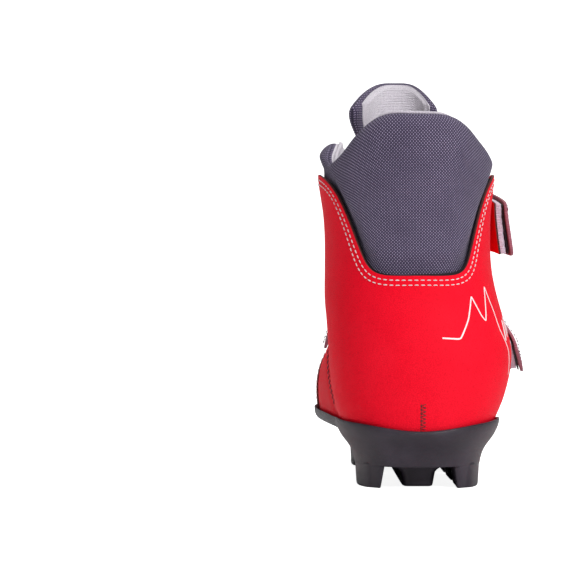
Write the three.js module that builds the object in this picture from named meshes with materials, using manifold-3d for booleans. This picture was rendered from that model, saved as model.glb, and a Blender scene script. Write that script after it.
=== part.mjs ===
// Child's cross country ski boot, right foot, for a binding that grips a steel bar under the toe.
// Millimetres. +X is the outer side of the foot, +Y points to the toe, +Z is up.
// The floor is z = 0 and the origin is the middle of the boot's footprint box.
//
// The outer skin of the upper is one smooth closed form, a foot and a leg melted together.
// Every panel is a thin box bent onto that skin, so panels, pads and straps fit each other.
import * as THREE from "three";
import { mergeVertices } from "three/addons/utils/BufferGeometryUtils.js";
import Module from "manifold-3d";

const wasm = await Module();
wasm.setup();

// ---------------------------------------------------------------- driving dimensions
const GAP = 0.35; // clearance between pieces that touch
const LEATHER = 1.4; // red synthetic leather
const PLUSH = 1.5; // lining
const PAD = 7.2; // collar and tongue foam with its covers
const STIFFENER = 1.3; // heel counter and toe puff

const CENTRE_SHIFT = new THREE.Vector3(-6.1, -2.3, 0); // puts the origin in the middle of the box

const SOLE_TOP = 24; // floor of the cup that the upper stands in
const SOLE_UNDER = 10; // underside of the plate, the roof of both guide grooves
const RIM_TOP = 30; // before the rim's wave
const RIM_THICK = 2;
const RIM_ROOM = 0.7; // between the rim and the upper
const UPPER_FOOT = SOLE_TOP + GAP; // lower edge of every upper panel

const HEEL_CENTRE = -50; // y of the upright axis that the heel panels are drawn about
const TOE_CENTRE = 66; // y where the toe begins to close
const TOE_REACH = 49; // from there to the tip of the upper
const THROAT_HALF = 22; // half the width of the opening between the quarter's front edges

const RIB_TOP = 9.6; // half width of the centre rib at its root
const RIB_FOOT = 7.2; // half width of the centre rib on the floor
const RIB_BACK = -87; // the rib starts further forward than the heel's tread blocks
const LUG_IN = 17.6; // inner face of the tread blocks
const TOE_BAR = { radius: 2, length: 37, y: 105, z: 5.6 };

// ---------------------------------------------------------------- small helpers
const { clamp, lerp, smoothstep, degToRad } = THREE.MathUtils;

// A smooth curve through [position, value] stations, level past both ends.
function through(...stations) {
  return (t) => {
    let i = 0;
    while (i < stations.length - 2 && t > stations[i + 1][0]) i += 1;
    const [t0, v0] = stations[i];
    const [t1, v1] = stations[i + 1];
    const before = stations[Math.max(i - 1, 0)];
    const after = stations[Math.min(i + 2, stations.length - 1)];
    const span = t1 - t0;
    const s = clamp((t - t0) / span, 0, 1);
    const leave = ((v1 - before[1]) / (t1 - before[0])) * span;
    const arrive = ((after[1] - v0) / (after[0] - t0)) * span;
    const bend = v0 - v1;
    const cubic = 2 * bend + leave + arrive;
    const square = -3 * bend - 2 * leave - arrive;
    return ((cubic * s + square) * s + leave) * s + v0;
  };
}

// ---------------------------------------------------------------- the skin of the upper
// Foot: half width, side shift, height of the ridge line and height of the widest line, along y.
const footHalf = through([-60, 35], [-30, 35.5], [0, 37.5], [30, 41.5], [52, 43.5], [80, 43], [115, 40]);
const footShift = through([-60, 0.5], [0, 1.5], [30, 0.8], [55, -0.5], [85, -3.5], [115, -8]);
const footRidge = through([-60, 112], [-30, 119], [0, 115], [20, 103], [40, 89.5], [60, 78], [80, 71.5], [115, 66]);
const footWidest = through([-60, 58], [0, 52], [30, 45], [60, 40], [115, 36]);
const footTuck = through([-60, 0.17], [0, 0.1], [50, 0.045], [115, 0.05]);
const FOOT_ROUND = 2.35;

// Leg: back line, front line, half width and side shift, along z.
const legBack = through([20, -106.5], [30, -109], [45, -112], [62, -113], [80, -110.5], [100, -104.5], [120, -100.5],
  [140, -99.5], [160, -102], [175, -104], [200, -106]);
const legFront = through([20, -22], [60, -16], [90, 2], [110, 10], [125, 9], [145, 5], [165, 4], [180, 6], [200, 11]);
const legHalf = through([20, 31], [30, 35.2], [42, 39.6], [62, 42.6], [80, 41.2], [100, 39.6], [125, 39.8],
  [145, 42], [155, 41], [172, 37.5], [200, 34]);
const legShift = through([30, 0.6], [62, 2.2], [90, -2.6], [120, -3.3], [145, -3.9], [172, -4.6], [200, -5]);
const LEG_ROUND = 2.25;
const MELT = 13; // how far the foot and the leg flow into each other

function footField(x, y, z) {
  const widest = footWidest(y);
  const below = clamp((widest - z) / (widest - SOLE_TOP), 0, 1);
  const side = Math.abs(x - footShift(y)) / (footHalf(y) * (1 - footTuck(y) * below ** 2));
  const up = Math.max(0, z - widest) / (footRidge(y) - widest);
  const along = Math.max(0, (y - TOE_CENTRE) / TOE_REACH, (-60 - y) / 40);
  return (((side ** FOOT_ROUND + up ** FOOT_ROUND + along ** FOOT_ROUND) ** (1 / FOOT_ROUND)) - 1) * 40;
}

function legField(x, y, z) {
  const back = legBack(z);
  const front = legFront(z);
  const side = Math.abs(x - legShift(z)) / legHalf(z);
  const along = Math.abs(y - (front + back) / 2) / ((front - back) / 2);
  return (((side ** LEG_ROUND + along ** LEG_ROUND) ** (1 / LEG_ROUND)) - 1) * 40;
}

// Below zero inside the upper, above zero outside it.
function skinField(x, y, z) {
  const foot = footField(x, y, z);
  const leg = legField(x, y, z);
  const near = Math.max(MELT - Math.abs(foot - leg), 0) / MELT;
  return Math.min(foot, leg) - (near * near * MELT) / 4;
}

// The point where a line from inside leaves the skin, moved in by depth (or out, where depth is negative).
function onSkin(from, direction, depth = 0) {
  let inside = 0;
  let outside = 150;
  for (let i = 0; i < 26; i += 1) {
    const middle = (inside + outside) / 2;
    const p = from.clone().addScaledVector(direction, middle);
    if (skinField(p.x, p.y, p.z) < 0) inside = middle;
    else outside = middle;
  }
  const point = from.clone().addScaledVector(direction, outside);
  const h = 0.5;
  const normal = new THREE.Vector3(
    skinField(point.x + h, point.y, point.z) - skinField(point.x - h, point.y, point.z),
    skinField(point.x, point.y + h, point.z) - skinField(point.x, point.y - h, point.z),
    skinField(point.x, point.y, point.z + h) - skinField(point.x, point.y, point.z - h),
  ).normalize();
  return point.addScaledVector(normal, -depth);
}

// About the heel's upright axis: turn is 0 at the back, positive on the outer side, in degrees.
function heelPoint(turn, z, depth) {
  const a = degToRad(turn);
  return onSkin(new THREE.Vector3(0, HEEL_CENTRE, z), new THREE.Vector3(Math.sin(a), -Math.cos(a), 0), depth);
}

// In a plane across the foot: roll is 0 at the top, 90 level on the outer side, in degrees.
function footPoint(y, roll, depth) {
  const a = degToRad(roll);
  return onSkin(new THREE.Vector3(footShift(y), y, UPPER_FOOT), new THREE.Vector3(Math.sin(a), 0, Math.cos(a)), depth);
}

// On the front of the leg and instep, straight ahead of the upright axis.
function frontPoint(x, z, depth) {
  return onSkin(new THREE.Vector3(x, HEEL_CENTRE, z), new THREE.Vector3(0, 1, 0), depth);
}

// ---------------------------------------------------------------- solids
// Position-only geometry with shared corners, no collapsed triangles and faces that point out.
function tidy(geometry) {
  const bare = geometry.clone();
  bare.deleteAttribute("normal");
  bare.deleteAttribute("uv");
  const merged = mergeVertices(bare, 1e-3);
  const at = merged.attributes.position;
  const kept = [];
  let volume = 0;
  for (let i = 0; i < merged.index.count; i += 3) {
    const [a, b, c] = [0, 1, 2].map((k) => merged.index.getX(i + k));
    if (a === b || b === c || c === a) continue;
    kept.push(a, b, c);
    const [p, q, r] = [a, b, c].map((k) => new THREE.Vector3().fromBufferAttribute(at, k));
    volume += p.dot(q.cross(r));
  }
  if (volume < 0) kept.reverse();
  merged.setIndex(kept);
  return merged;
}

// A box with many faces whose points are moved: place(u, v, w) gets 0 to 1 along each edge.
function bentBox(along, across, place) {
  const box = new THREE.BoxGeometry(1, 1, 1, along, across, 1);
  const at = box.attributes.position;
  for (let i = 0; i < at.count; i += 1) {
    const p = place(at.getX(i) + 0.5, at.getY(i) + 0.5, at.getZ(i) + 0.5);
    at.setXYZ(i, p.x, p.y, p.z);
  }
  return tidy(box);
}

// A stadium walk round the foot: where a line starts and which way it points, t from 0 to 1.
const WALK_BACK = -66;
const WALK_FRONT = 58;
function footprint(t, z, depth) {
  const end = 0.25;
  const side = 0.25;
  const s = ((t % 1) + 1) % 1;
  const legs = [
    [0, end, WALK_BACK, WALK_BACK, -90, 90],
    [end, end + side, WALK_BACK, WALK_FRONT, 90, 90],
    [end + side, 2 * end + side, WALK_FRONT, WALK_FRONT, 90, 270],
    [2 * end + side, 1, WALK_FRONT, WALK_BACK, 270, 270],
  ];
  const [from, to, y0, y1, a0, a1] = legs.find((leg) => s <= leg[1]);
  const k = (s - from) / (to - from);
  const y = lerp(y0, y1, k);
  const a = degToRad(lerp(a0, a1, k));
  const start = new THREE.Vector3(footShift(y), y, z);
  const point = onSkin(start, new THREE.Vector3(Math.sin(a), -Math.cos(a), 0), depth);
  point.z = z;
  return point;
}

// A disc turned from a profile and then stretched to the footprint.
// The profile is [depth, z] pairs from the rim's foot to its end; the centre closes it at both ends.
const NOMINAL = 60;
const DISC_SIDES = 72;
function footDisc(profile, heightAt = (t, z) => z, moreDepth = () => 0) {
  const first = profile[0];
  const last = profile[profile.length - 1];
  const outline = [
    new THREE.Vector2(0, first[1]),
    ...profile.map(([depth, z]) => new THREE.Vector2(NOMINAL - depth, z)),
    new THREE.Vector2(0, last[1]),
  ];
  const lathe = new THREE.LatheGeometry(outline, DISC_SIDES);
  const at = lathe.attributes.position;
  for (let i = 0; i < at.count; i += 1) {
    const radius = Math.hypot(at.getX(i), at.getZ(i));
    if (radius < 1) {
      at.setXYZ(i, 0, 0, heightAt(0, at.getY(i)));
      continue;
    }
    const t = Math.round(((Math.atan2(at.getX(i), at.getZ(i)) / (2 * Math.PI) + 1) % 1) * DISC_SIDES) / DISC_SIDES;
    const z = heightAt(t, at.getY(i));
    const p = footprint(t, Math.max(z, SOLE_TOP), NOMINAL - radius + moreDepth(t, z));
    at.setXYZ(i, p.x, p.y, z);
  }
  return tidy(lathe);
}

function solid(geometry) {
  const mesh = new wasm.Mesh({
    numProp: 3,
    vertProperties: new Float32Array(geometry.attributes.position.array),
    triVerts: new Uint32Array(geometry.index.array),
  });
  return new wasm.Manifold(mesh);
}

function geometryOf(manifold) {
  const mesh = manifold.getMesh();
  const geometry = new THREE.BufferGeometry();
  geometry.setAttribute("position", new THREE.BufferAttribute(mesh.vertProperties, 3));
  geometry.setIndex(new THREE.BufferAttribute(mesh.triVerts, 1));
  return geometry;
}

// ---------------------------------------------------------------- finishes
const FINISH = {
  red: { color: 0xe0182c, roughness: 0.45, metalness: 0 },
  textile: { color: 0x5a5562, roughness: 0.85, metalness: 0 },
  plush: { color: 0xd8cdd8, roughness: 0.95, metalness: 0 },
  black: { color: 0x2c2730, roughness: 0.55, metalness: 0 },
  band: { color: 0xbe6e7d, roughness: 0.8, metalness: 0 },
  pile: { color: 0xc8bed7, roughness: 0.95, metalness: 0 },
  tape: { color: 0x17151a, roughness: 0.7, metalness: 0 },
  steel: { color: 0xb9bcc0, roughness: 0.3, metalness: 1 },
  board: { color: 0xb59b73, roughness: 0.9, metalness: 0 },
  stiff: { color: 0xcfc8ba, roughness: 0.8, metalness: 0 },
  foam: { color: 0x6d6a70, roughness: 0.9, metalness: 0 },
};

const boot = new THREE.Group();
boot.position.copy(CENTRE_SHIFT);

function add(name, geometry, finish) {
  const shaded = geometry.index ? geometry.toNonIndexed() : geometry;
  shaded.computeVertexNormals();
  const mesh = new THREE.Mesh(shaded, new THREE.MeshStandardMaterial(FINISH[finish]));
  mesh.name = name;
  boot.add(mesh);
  return mesh;
}

// ---------------------------------------------------------------- edges of the panels
// Top edge of the quarter by turn: low across the back, up both sides of the U, then level.
const quarterTop = through([0, 98], [16, 98.2], [23, 100], [28, 104], [34, 112], [44, 126], [54, 137], [66, 143],
  [85, 146], [105, 146], [130, 142], [160, 134]);
// Top edge of the collar by turn. The inner side dips beside the ankle and rises again next to the tongue.
const collarOuter = through([0, 172], [22, 171.5], [42, 163], [60, 156], [78, 153.5], [105, 153.5], [155, 151]);
const collarInner = through([0, 172], [20, 171.5], [34, 165], [48, 155.5], [62, 151], [75, 152], [90, 158],
  [105, 160], [122, 156], [155, 151]);
const collarTop = (turn) => (turn < 0 ? collarInner(-turn) : collarOuter(turn));
// The back edge of the vamp across the foot, by roll.
const vampBack = (roll) => 12 + 39 * Math.cos(degToRad(roll)) ** 1.25;

// The quarter's front edge on one side, as [z, turn] stations: up the vamp's edge, then beside the throat.
function frontEdge(sign) {
  const stations = [];
  const turnOf = (p) => (Math.atan2(Math.abs(p.x), HEEL_CENTRE - p.y) * 180) / Math.PI;
  for (let roll = 90; roll > 10; roll -= 6) {
    const p = footPoint(vampBack(roll), sign * roll, 0);
    if (Math.abs(p.x - footShift(p.y)) < THROAT_HALF + 1) break;
    stations.push([p.z, turnOf(p)]);
  }
  const low = stations[stations.length - 1][0];
  for (let z = Math.ceil(low + 5); z < 150; z += 8) {
    stations.push([z, turnOf(frontPoint(legShift(z) + sign * THROAT_HALF, z, 0))]);
  }
  return through(...stations);
}
const FRONT_EDGE = { outer: frontEdge(1), inner: frontEdge(-1) };

// A point of a wraparound heel panel: u runs from the inner front edge round the back to the outer one,
// v from the low edge to the top edge.
function wrapPoint(u, v, depth, low, top, trim = 0, reach = Infinity) {
  const s = 2 * u - 1;
  const edge = s < 0 ? FRONT_EDGE.inner : FRONT_EDGE.outer;
  let turn = s * 120;
  let z = lerp(low, top(turn), v);
  for (let i = 0; i < 6; i += 1) {
    turn = s * Math.min(edge(z) - trim, reach);
    z = lerp(low, top(turn), v);
  }
  return heelPoint(turn, z, typeof depth === "function" ? depth(turn, z) : depth);
}

// ---------------------------------------------------------------- upper
function addQuarter() {
  const top = (turn) => quarterTop(Math.abs(turn));
  const place = (u, v, w) => wrapPoint(u, v, LEATHER * (1 - w), UPPER_FOOT, top, 0.4);
  add("quarter", bentBox(54, 11, place), "red");
}

function addHeelCounter() {
  const inner = LEATHER + 2 * GAP;
  const top = (turn) => lerp(80, 52, smoothstep(Math.abs(turn), 20, 95));
  const place = (u, v, w) => wrapPoint(u, v, inner + STIFFENER * (1 - w), UPPER_FOOT + 1, top, 0, 100);
  add("heel_counter", bentBox(28, 5, place), "stiff");
}

const COLLAR_LOW = 84;
const COLLAR_DEPTH = LEATHER + 1.6;
const COLLAR_REACH = 141; // turn at which the collar stops beside the tongue

// The collar pad lies behind the quarter and swells out above the quarter's top edge.
function collarFace(turn, z) {
  const above = z - quarterTop(Math.abs(turn));
  return COLLAR_DEPTH - 4.2 * smoothstep(above, 3, 13);
}
function addCollar() {
  const back = COLLAR_DEPTH + PAD;
  const depth = (w) => (turn, z) => lerp(back, collarFace(turn, z), w);
  const place = (u, v, w) => wrapPoint(u, v, depth(w), COLLAR_LOW, collarTop, 0, COLLAR_REACH);
  add("collar_pad", bentBox(44, 9, place), "textile");
}

function addHeelLining() {
  const low = LEATHER + STIFFENER + 4 * GAP;
  const high = COLLAR_DEPTH + PAD + 3 * GAP;
  const depth = (w) => (turn, z) => lerp(low, high, smoothstep(z, COLLAR_LOW - 22, COLLAR_LOW - 6)) + PLUSH * (1 - w);
  const place = (u, v, w) => wrapPoint(u, v, depth(w), UPPER_FOOT + 10, (turn) => collarTop(turn) - 1, 0, COLLAR_REACH);
  add("heel_lining", bentBox(40, 12, place), "plush");
}

const TOE_CAP_BACK = (roll) => 72 - 7 * Math.cos(degToRad(roll)) ** 2;
function addVamp() {
  const place = (u, v, w) => {
    const roll = lerp(-90, 90, u);
    const y = lerp(vampBack(roll) + 0.5, TOE_CAP_BACK(roll) - 0.2, v);
    return footPoint(y, roll, LEATHER * (1 - w));
  };
  add("vamp", bentBox(28, 6, place), "red");
}

// The toe is drawn about one point: bearing turns round it, lift climbs to the top.
function toePoint(u, v, depth) {
  const bearing = degToRad(lerp(-90, 90, u));
  const lift = degToRad(lerp(0, 90, v));
  const flat = Math.cos(lift);
  const roll = 90 - lerp(0, 90, v);
  const y = TOE_CAP_BACK(roll) + 0.2;
  const from = new THREE.Vector3(footShift(y), y, UPPER_FOOT);
  return onSkin(from, new THREE.Vector3(Math.sin(bearing) * flat, Math.cos(bearing) * flat, Math.sin(lift)), depth);
}
function addToe() {
  add("toe_cap", bentBox(24, 9, (u, v, w) => toePoint(u, v, LEATHER * (1 - w))), "red");
  const puff = LEATHER + 2 * GAP;
  add("toe_puff", bentBox(18, 6, (u, v, w) => toePoint(u, lerp(0.02, 1, v), puff + STIFFENER * (1 - w))), "stiff");
}

function addVampLining() {
  const depth = LEATHER + STIFFENER + 5 * GAP;
  const place = (u, v, w) => {
    const roll = lerp(-84, 84, u);
    const clear = 3 + 17 * Math.cos(degToRad(roll)) ** 3;
    const y = lerp(vampBack(roll) + clear, 90, v);
    return footPoint(y, roll, depth + PLUSH * (1 - w));
  };
  add("vamp_lining", bentBox(24, 8, place), "plush");
}

// ---------------------------------------------------------------- tongue
const TONGUE_FOOT = 79;
const TONGUE_TIP = 193;
const TONGUE_DROP = 13; // how much lower its corners are than its middle
const TONGUE_LEAN = 2; // its top stands this far to the inner side
const TONGUE_INNER = 0.17; // its inner half is wider at the top by this share
const TONGUE_WRAP = 8; // its sides curl back round the shin by this much at the top
const tongueHalf = through([80, 24], [110, 23.5], [150, 23], [195, 22.5]);
function tonguePoint(u, v, depth) {
  const s = 2 * u - 1;
  const tip = TONGUE_TIP - TONGUE_DROP * Math.abs(s) ** 3;
  const z = lerp(TONGUE_FOOT, tip, v);
  const lean = TONGUE_LEAN * smoothstep(z, 160, 178);
  const wider = s < 0 ? 1 + TONGUE_INNER * smoothstep(z, 162, 177) : 1;
  const point = frontPoint(legShift(z) - lean + s * tongueHalf(z) * wider, z, depth);
  point.y -= TONGUE_WRAP * Math.abs(s) ** 2.5 * smoothstep(z, 168, 186);
  return point;
}
function addTongue() {
  const face = LEATHER + 2 * GAP;
  const back = face + PAD - 1;
  add("tongue", bentBox(12, 16, (u, v, w) => tonguePoint(u, v, lerp(back, face, w))), "textile");
  const skin = back + 3 * GAP;
  const lining = (u, v, w) => tonguePoint(lerp(0.03, 0.97, u), lerp(0.02, 0.985, v), skin + PLUSH * (1 - w));
  add("tongue_lining", bentBox(12, 14, lining), "plush");
}

// ---------------------------------------------------------------- straps
// Each strap lies in a plane: ahead points up the foot or leg in that plane, across is the band's width.
function strapPlane(from, tilt, half, start, end, splay) {
  const a = degToRad(tilt);
  return {
    from: new THREE.Vector3(...from),
    ahead: new THREE.Vector3(0, Math.cos(a), Math.sin(a)),
    across: new THREE.Vector3(0, -Math.sin(a), Math.cos(a)),
    half,
    start,
    end,
    splay,
  };
}
const UPPER = strapPlane([-3.5, -38, 120.5], 12, 14, -58, 92, (v) => 3.6 - 2.2 * v);
const LOWER = strapPlane([0.5, 8.5, 49], 56, 13, -60, 79, (v) => 9 - v);

function strapPoint(strap, u, v, lift) {
  const a = degToRad(lerp(strap.start, strap.end, u));
  const from = strap.from.clone().addScaledVector(strap.across, v * strap.half);
  const direction = strap.ahead.clone().multiplyScalar(Math.cos(a));
  direction.x = Math.sin(a);
  const rise = smoothstep(u, 0.74, 1) ** 1.4 * strap.splay(v);
  return onSkin(from, direction, -(lift + rise));
}

const PAD_FROM = 0.66; // where the loop pad starts along the strap
const PILE = 3.6;
const TAPE = 0.8;
const BAND = 2;
function addStrap(name, strap) {
  const side = (v) => 2 * v - 1;
  const pad = (u, v, w) => strapPoint(strap, lerp(PAD_FROM, 0.975, u), side(v) * 0.9, GAP + PILE * w);
  add(name + "_loop_pad", bentBox(12, 3, pad), "pile");
  const tapeLift = PILE + 2 * GAP;
  const tape = (u, v, w) => strapPoint(strap, lerp(PAD_FROM + 0.02, 0.985, u), side(v) * 0.9, tapeLift + TAPE * w);
  add(name + "_strap_hook", bentBox(12, 3, tape), "tape");
  const high = tapeLift + TAPE + GAP;
  const base = (u) => lerp(0.9, high, smoothstep(u, 0.44, PAD_FROM - 0.02));
  const band = (u, v, w) => strapPoint(strap, u, side(v), base(u) + BAND * w);
  add(name + "_strap", bentBox(36, 3, band), "band");
}

// ---------------------------------------------------------------- sole
const rimTop = through([0, 31.5], [0.07, 30], [0.125, 27], [0.18, 30], [0.25, 31.5], [0.36, 27], [0.46, 29], [0.56, 31],
  [0.625, 34], [0.69, 31], [0.79, 29], [0.89, 27], [1, 31.5]);

// Under the forefoot the sides of the cup slope in further, so that the tread is as narrow as at the heel.
const UNDERCUT = 9.8;
const undercutAt = through([10, UNDERCUT], [15, 7.5], [19, 4.2], [23.5, 0.5], [24, 0], [40, 0]);
function forefoot(t) {
  const outer = smoothstep(t, 0.3, 0.41) * (1 - smoothstep(t, 0.54, 0.6));
  const inner = smoothstep(t, 0.65, 0.71) * (1 - smoothstep(t, 0.84, 0.95));
  return outer + inner;
}

function addSole() {
  const outer = -(RIM_ROOM + RIM_THICK);
  const profile = [[outer + 7.4, SOLE_UNDER], [outer + 6.4, 15], [outer + 4, 19], [outer + 0.4, 23.5],
    [outer - 0.4, 26.5], [outer + 0.5, RIM_TOP], [-RIM_ROOM, RIM_TOP], [-RIM_ROOM, SOLE_TOP]];
  const height = (t, z) => (z <= SOLE_TOP ? z : lerp(SOLE_TOP, rimTop(t), (z - SOLE_TOP) / (RIM_TOP - SOLE_TOP)));
  add("sole_cup", footDisc(profile, height, (t, z) => undercutAt(z) * forefoot(t)), "black");
}

// A tread block between two y stations: its outer face follows the footprint and leans in to the floor.
function lugBlock(sign, y0, y1) {
  const edge = (y) => {
    const p = footPoint(clamp(y, -92, 92), sign * 90, 0);
    return Math.abs(p.x);
  };
  return bentBox(6, 1, (u, v, w) => {
    const foot = w < 0.5;
    const y = lerp(y0, y1, u) - (foot ? (u - 0.5) * 3 : 0);
    const inner = foot ? LUG_IN : LUG_IN - 2;
    const inset = (foot ? 5.2 : 4.4) + UNDERCUT * smoothstep(y, -40, 15);
    const outer = Math.max(edge(y) - inset, LUG_IN + 5);
    return new THREE.Vector3(sign * lerp(inner, outer, v), y, foot ? 0 : SOLE_UNDER - GAP);
  });
}

function addTread() {
  const blocks = { heel: [-97, -58], arch: [-48, -4], ball: [4, 48], toe: [56, 93] };
  for (const [place, [y0, y1]] of Object.entries(blocks)) {
    add(place + "_lug_outer", lugBlock(1, y0, y1), "black");
    add(place + "_lug_inner", lugBlock(-1, y0, y1), "black");
  }
  const rib = bentBox(1, 1, (u, v, w) => {
    const half = w < 0.5 ? RIB_FOOT : RIB_TOP;
    return new THREE.Vector3(lerp(-half, half, v), lerp(RIB_BACK, 92, u), w < 0.5 ? 0 : SOLE_UNDER - GAP);
  });
  add("centre_rib", rib, "black");
}

// Two ears under the toe hold the steel bar that the binding grips.
function addToeBar() {
  const bar = new THREE.CylinderGeometry(TOE_BAR.radius, TOE_BAR.radius, TOE_BAR.length, 24);
  bar.rotateZ(Math.PI / 2);
  bar.translate(footShift(TOE_BAR.y), TOE_BAR.y, TOE_BAR.z);
  const bore = new THREE.CylinderGeometry(TOE_BAR.radius + GAP, TOE_BAR.radius + GAP, TOE_BAR.length + 2, 24);
  bore.rotateZ(Math.PI / 2);
  bore.translate(footShift(TOE_BAR.y), TOE_BAR.y, TOE_BAR.z);
  for (const [name, sign] of [["outer", 1], ["inner", -1]]) {
    const ear = new THREE.BoxGeometry(8, 15, SOLE_UNDER - GAP - 1);
    ear.translate(footShift(TOE_BAR.y) + sign * 16, TOE_BAR.y - 1, (SOLE_UNDER - GAP + 1) / 2);
    add("toe_ear_" + name, geometryOf(solid(tidy(ear)).subtract(solid(tidy(bore)))), "black");
  }
  add("toe_bar", tidy(bar), "steel");
}

function addInside() {
  const shank = new THREE.BoxGeometry(14, 96, 1.2, 1, 6, 1);
  shank.translate(1, -20, SOLE_TOP + GAP + 0.6);
  add("shank", tidy(shank), "steel");
  const boardLow = SOLE_TOP + 1.2 + 2 * GAP;
  add("insole_board", footDisc([[7, boardLow], [7, boardLow + 2]]), "board");
  const bedLow = boardLow + 2 + GAP;
  add("footbed", footDisc([[7.5, bedLow], [6.8, bedLow + 4], [8.5, bedLow + 4.5]]), "foam");
}

addSole();
addTread();
addToeBar();
addInside();
addQuarter();
addVamp();
addToe();
addHeelCounter();
addCollar();
addHeelLining();
addVampLining();
addTongue();
addStrap("upper", UPPER);
addStrap("lower", LOWER);

export default boot;
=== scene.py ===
# %% [markdown]
# # A child's cross country ski boot
# The boot is a soft upper that stands in a moulded sole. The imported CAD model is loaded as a
# fixed frame: it says where every piece is and how the straps and the tongue move. This lesson
# builds the pieces that show on top of that frame, one cell at a time.

import bpy
import bmesh
import math
import numpy as np
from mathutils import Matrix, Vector


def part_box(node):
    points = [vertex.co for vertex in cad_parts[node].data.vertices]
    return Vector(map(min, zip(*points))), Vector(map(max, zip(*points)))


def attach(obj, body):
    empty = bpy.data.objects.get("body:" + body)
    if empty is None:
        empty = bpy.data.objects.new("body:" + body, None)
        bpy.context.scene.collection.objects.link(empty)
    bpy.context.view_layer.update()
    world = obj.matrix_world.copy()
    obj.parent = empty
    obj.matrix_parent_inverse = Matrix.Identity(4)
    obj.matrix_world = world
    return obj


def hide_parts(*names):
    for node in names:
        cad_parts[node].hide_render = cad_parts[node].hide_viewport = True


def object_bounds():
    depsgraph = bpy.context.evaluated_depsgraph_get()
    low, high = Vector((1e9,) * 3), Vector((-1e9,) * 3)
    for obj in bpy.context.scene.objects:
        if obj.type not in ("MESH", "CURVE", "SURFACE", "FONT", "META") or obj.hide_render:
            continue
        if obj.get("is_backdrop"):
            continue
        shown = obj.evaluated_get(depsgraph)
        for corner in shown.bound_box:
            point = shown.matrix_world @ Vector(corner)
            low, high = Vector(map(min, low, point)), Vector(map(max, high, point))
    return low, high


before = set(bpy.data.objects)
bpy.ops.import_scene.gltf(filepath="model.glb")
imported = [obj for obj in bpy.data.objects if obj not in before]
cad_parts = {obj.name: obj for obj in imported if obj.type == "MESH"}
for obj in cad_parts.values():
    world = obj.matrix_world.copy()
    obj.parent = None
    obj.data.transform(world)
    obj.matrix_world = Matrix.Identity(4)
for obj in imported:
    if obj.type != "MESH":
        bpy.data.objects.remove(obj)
CAD_BOX = [list(corner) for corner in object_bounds()]
MM = 0.001
print("frame box in mm:", [[round(c / MM, 1) for c in corner] for corner in CAD_BOX])

# %% [markdown]
# ## The last
# A shoemaker pulls every panel over one wooden form, the last. Here the last is a formula: a
# foot and a leg, each with a rounded cross-section, melted together where they meet. It could
# be sculpted by hand instead, but a formula lets each panel, pad, seam and strap be placed at
# an exact depth under or over the same skin, so nothing cuts through its neighbour.

# %% Smooth curves through listed stations
def through(*stations):
    """A smooth curve through (position, value) pairs, level past both ends."""
    at = np.array([s[0] for s in stations], float)
    value = np.array([s[1] for s in stations], float)
    last = len(at) - 1

    def curve(x):
        x = np.asarray(x, float)
        i = np.clip(np.searchsorted(at, x) - 1, 0, last - 1)
        before = np.maximum(i - 1, 0)
        after = np.minimum(i + 2, last)
        span = at[i + 1] - at[i]
        s = np.clip((x - at[i]) / span, 0, 1)
        leave = (value[i + 1] - value[before]) / (at[i + 1] - at[before]) * span
        arrive = (value[after] - value[i]) / (at[after] - at[i]) * span
        bend = value[i] - value[i + 1]
        cubic = 2 * bend + leave + arrive
        square = -3 * bend - 2 * leave - arrive
        return ((cubic * s + square) * s + leave) * s + value[i]

    return curve


def smoothstep(x, low, high):
    s = np.clip((x - low) / (high - low), 0, 1)
    return s * s * (3 - 2 * s)


def mix(a, b, t):
    return a + (b - a) * t


def quarter_circle(near):
    """Rises from 0 where near is 0 to 1 where it is 1 or more, as a rounded border does."""
    return np.sqrt(np.maximum(1 - (1 - np.clip(near, 0, 1)) ** 2, 0))


def walked(steps):
    """Distances from the start after each step."""
    return np.concatenate([[0], np.cumsum(steps)])


def matched(*values):
    """Numbers and arrays, all brought to one shape."""
    return np.broadcast_arrays(*(np.asarray(v, float) for v in values))


# %% The foot and the leg, in the last's own millimetres
SOLE_TOP = 24.0
UPPER_FOOT = 24.35
HEEL_CENTRE = -50.0
TOE_CENTRE = 66.0
TOE_REACH = 49.0
FOOT_ROUND = 2.35
LEG_ROUND = 2.25
MELT = 13.0

foot_half = through((-60, 35), (-30, 35.5), (0, 37.5), (30, 41.5), (52, 43.5), (80, 43), (115, 40))
foot_shift = through((-60, 0.5), (0, 1.5), (30, 0.8), (55, -0.5), (85, -3.5), (115, -8))
foot_ridge = through((-60, 112), (-30, 119), (0, 115), (20, 103), (40, 89.5), (60, 78), (80, 71.5), (115, 66))
foot_widest = through((-60, 58), (0, 52), (30, 45), (60, 40), (115, 36))
foot_tuck = through((-60, 0.17), (0, 0.1), (50, 0.045), (115, 0.05))
leg_back = through((20, -106.5), (30, -109), (45, -112), (62, -113), (80, -110.5), (100, -104.5),
                   (120, -100.5), (140, -99.5), (160, -102), (175, -104), (200, -106))
leg_front = through((20, -22), (60, -16), (90, 2), (110, 10), (125, 9), (145, 5), (165, 4),
                    (180, 6), (200, 11))
leg_half = through((20, 31), (30, 35.2), (42, 39.6), (62, 42.6), (80, 41.2), (100, 39.6),
                   (125, 39.8), (145, 42), (155, 41), (172, 37.5), (200, 34))
leg_shift = through((30, 0.6), (62, 2.2), (90, -2.6), (120, -3.3), (145, -3.9), (172, -4.6), (200, -5))


def foot_field(x, y, z):
    widest = foot_widest(y)
    below = np.clip((widest - z) / (widest - SOLE_TOP), 0, 1)
    side = np.abs(x - foot_shift(y)) / (foot_half(y) * (1 - foot_tuck(y) * below ** 2))
    up = np.maximum(0, z - widest) / (foot_ridge(y) - widest)
    along = np.maximum(0, np.maximum((y - TOE_CENTRE) / TOE_REACH, (-60 - y) / 40))
    return ((side ** FOOT_ROUND + up ** FOOT_ROUND + along ** FOOT_ROUND) ** (1 / FOOT_ROUND) - 1) * 40


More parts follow.
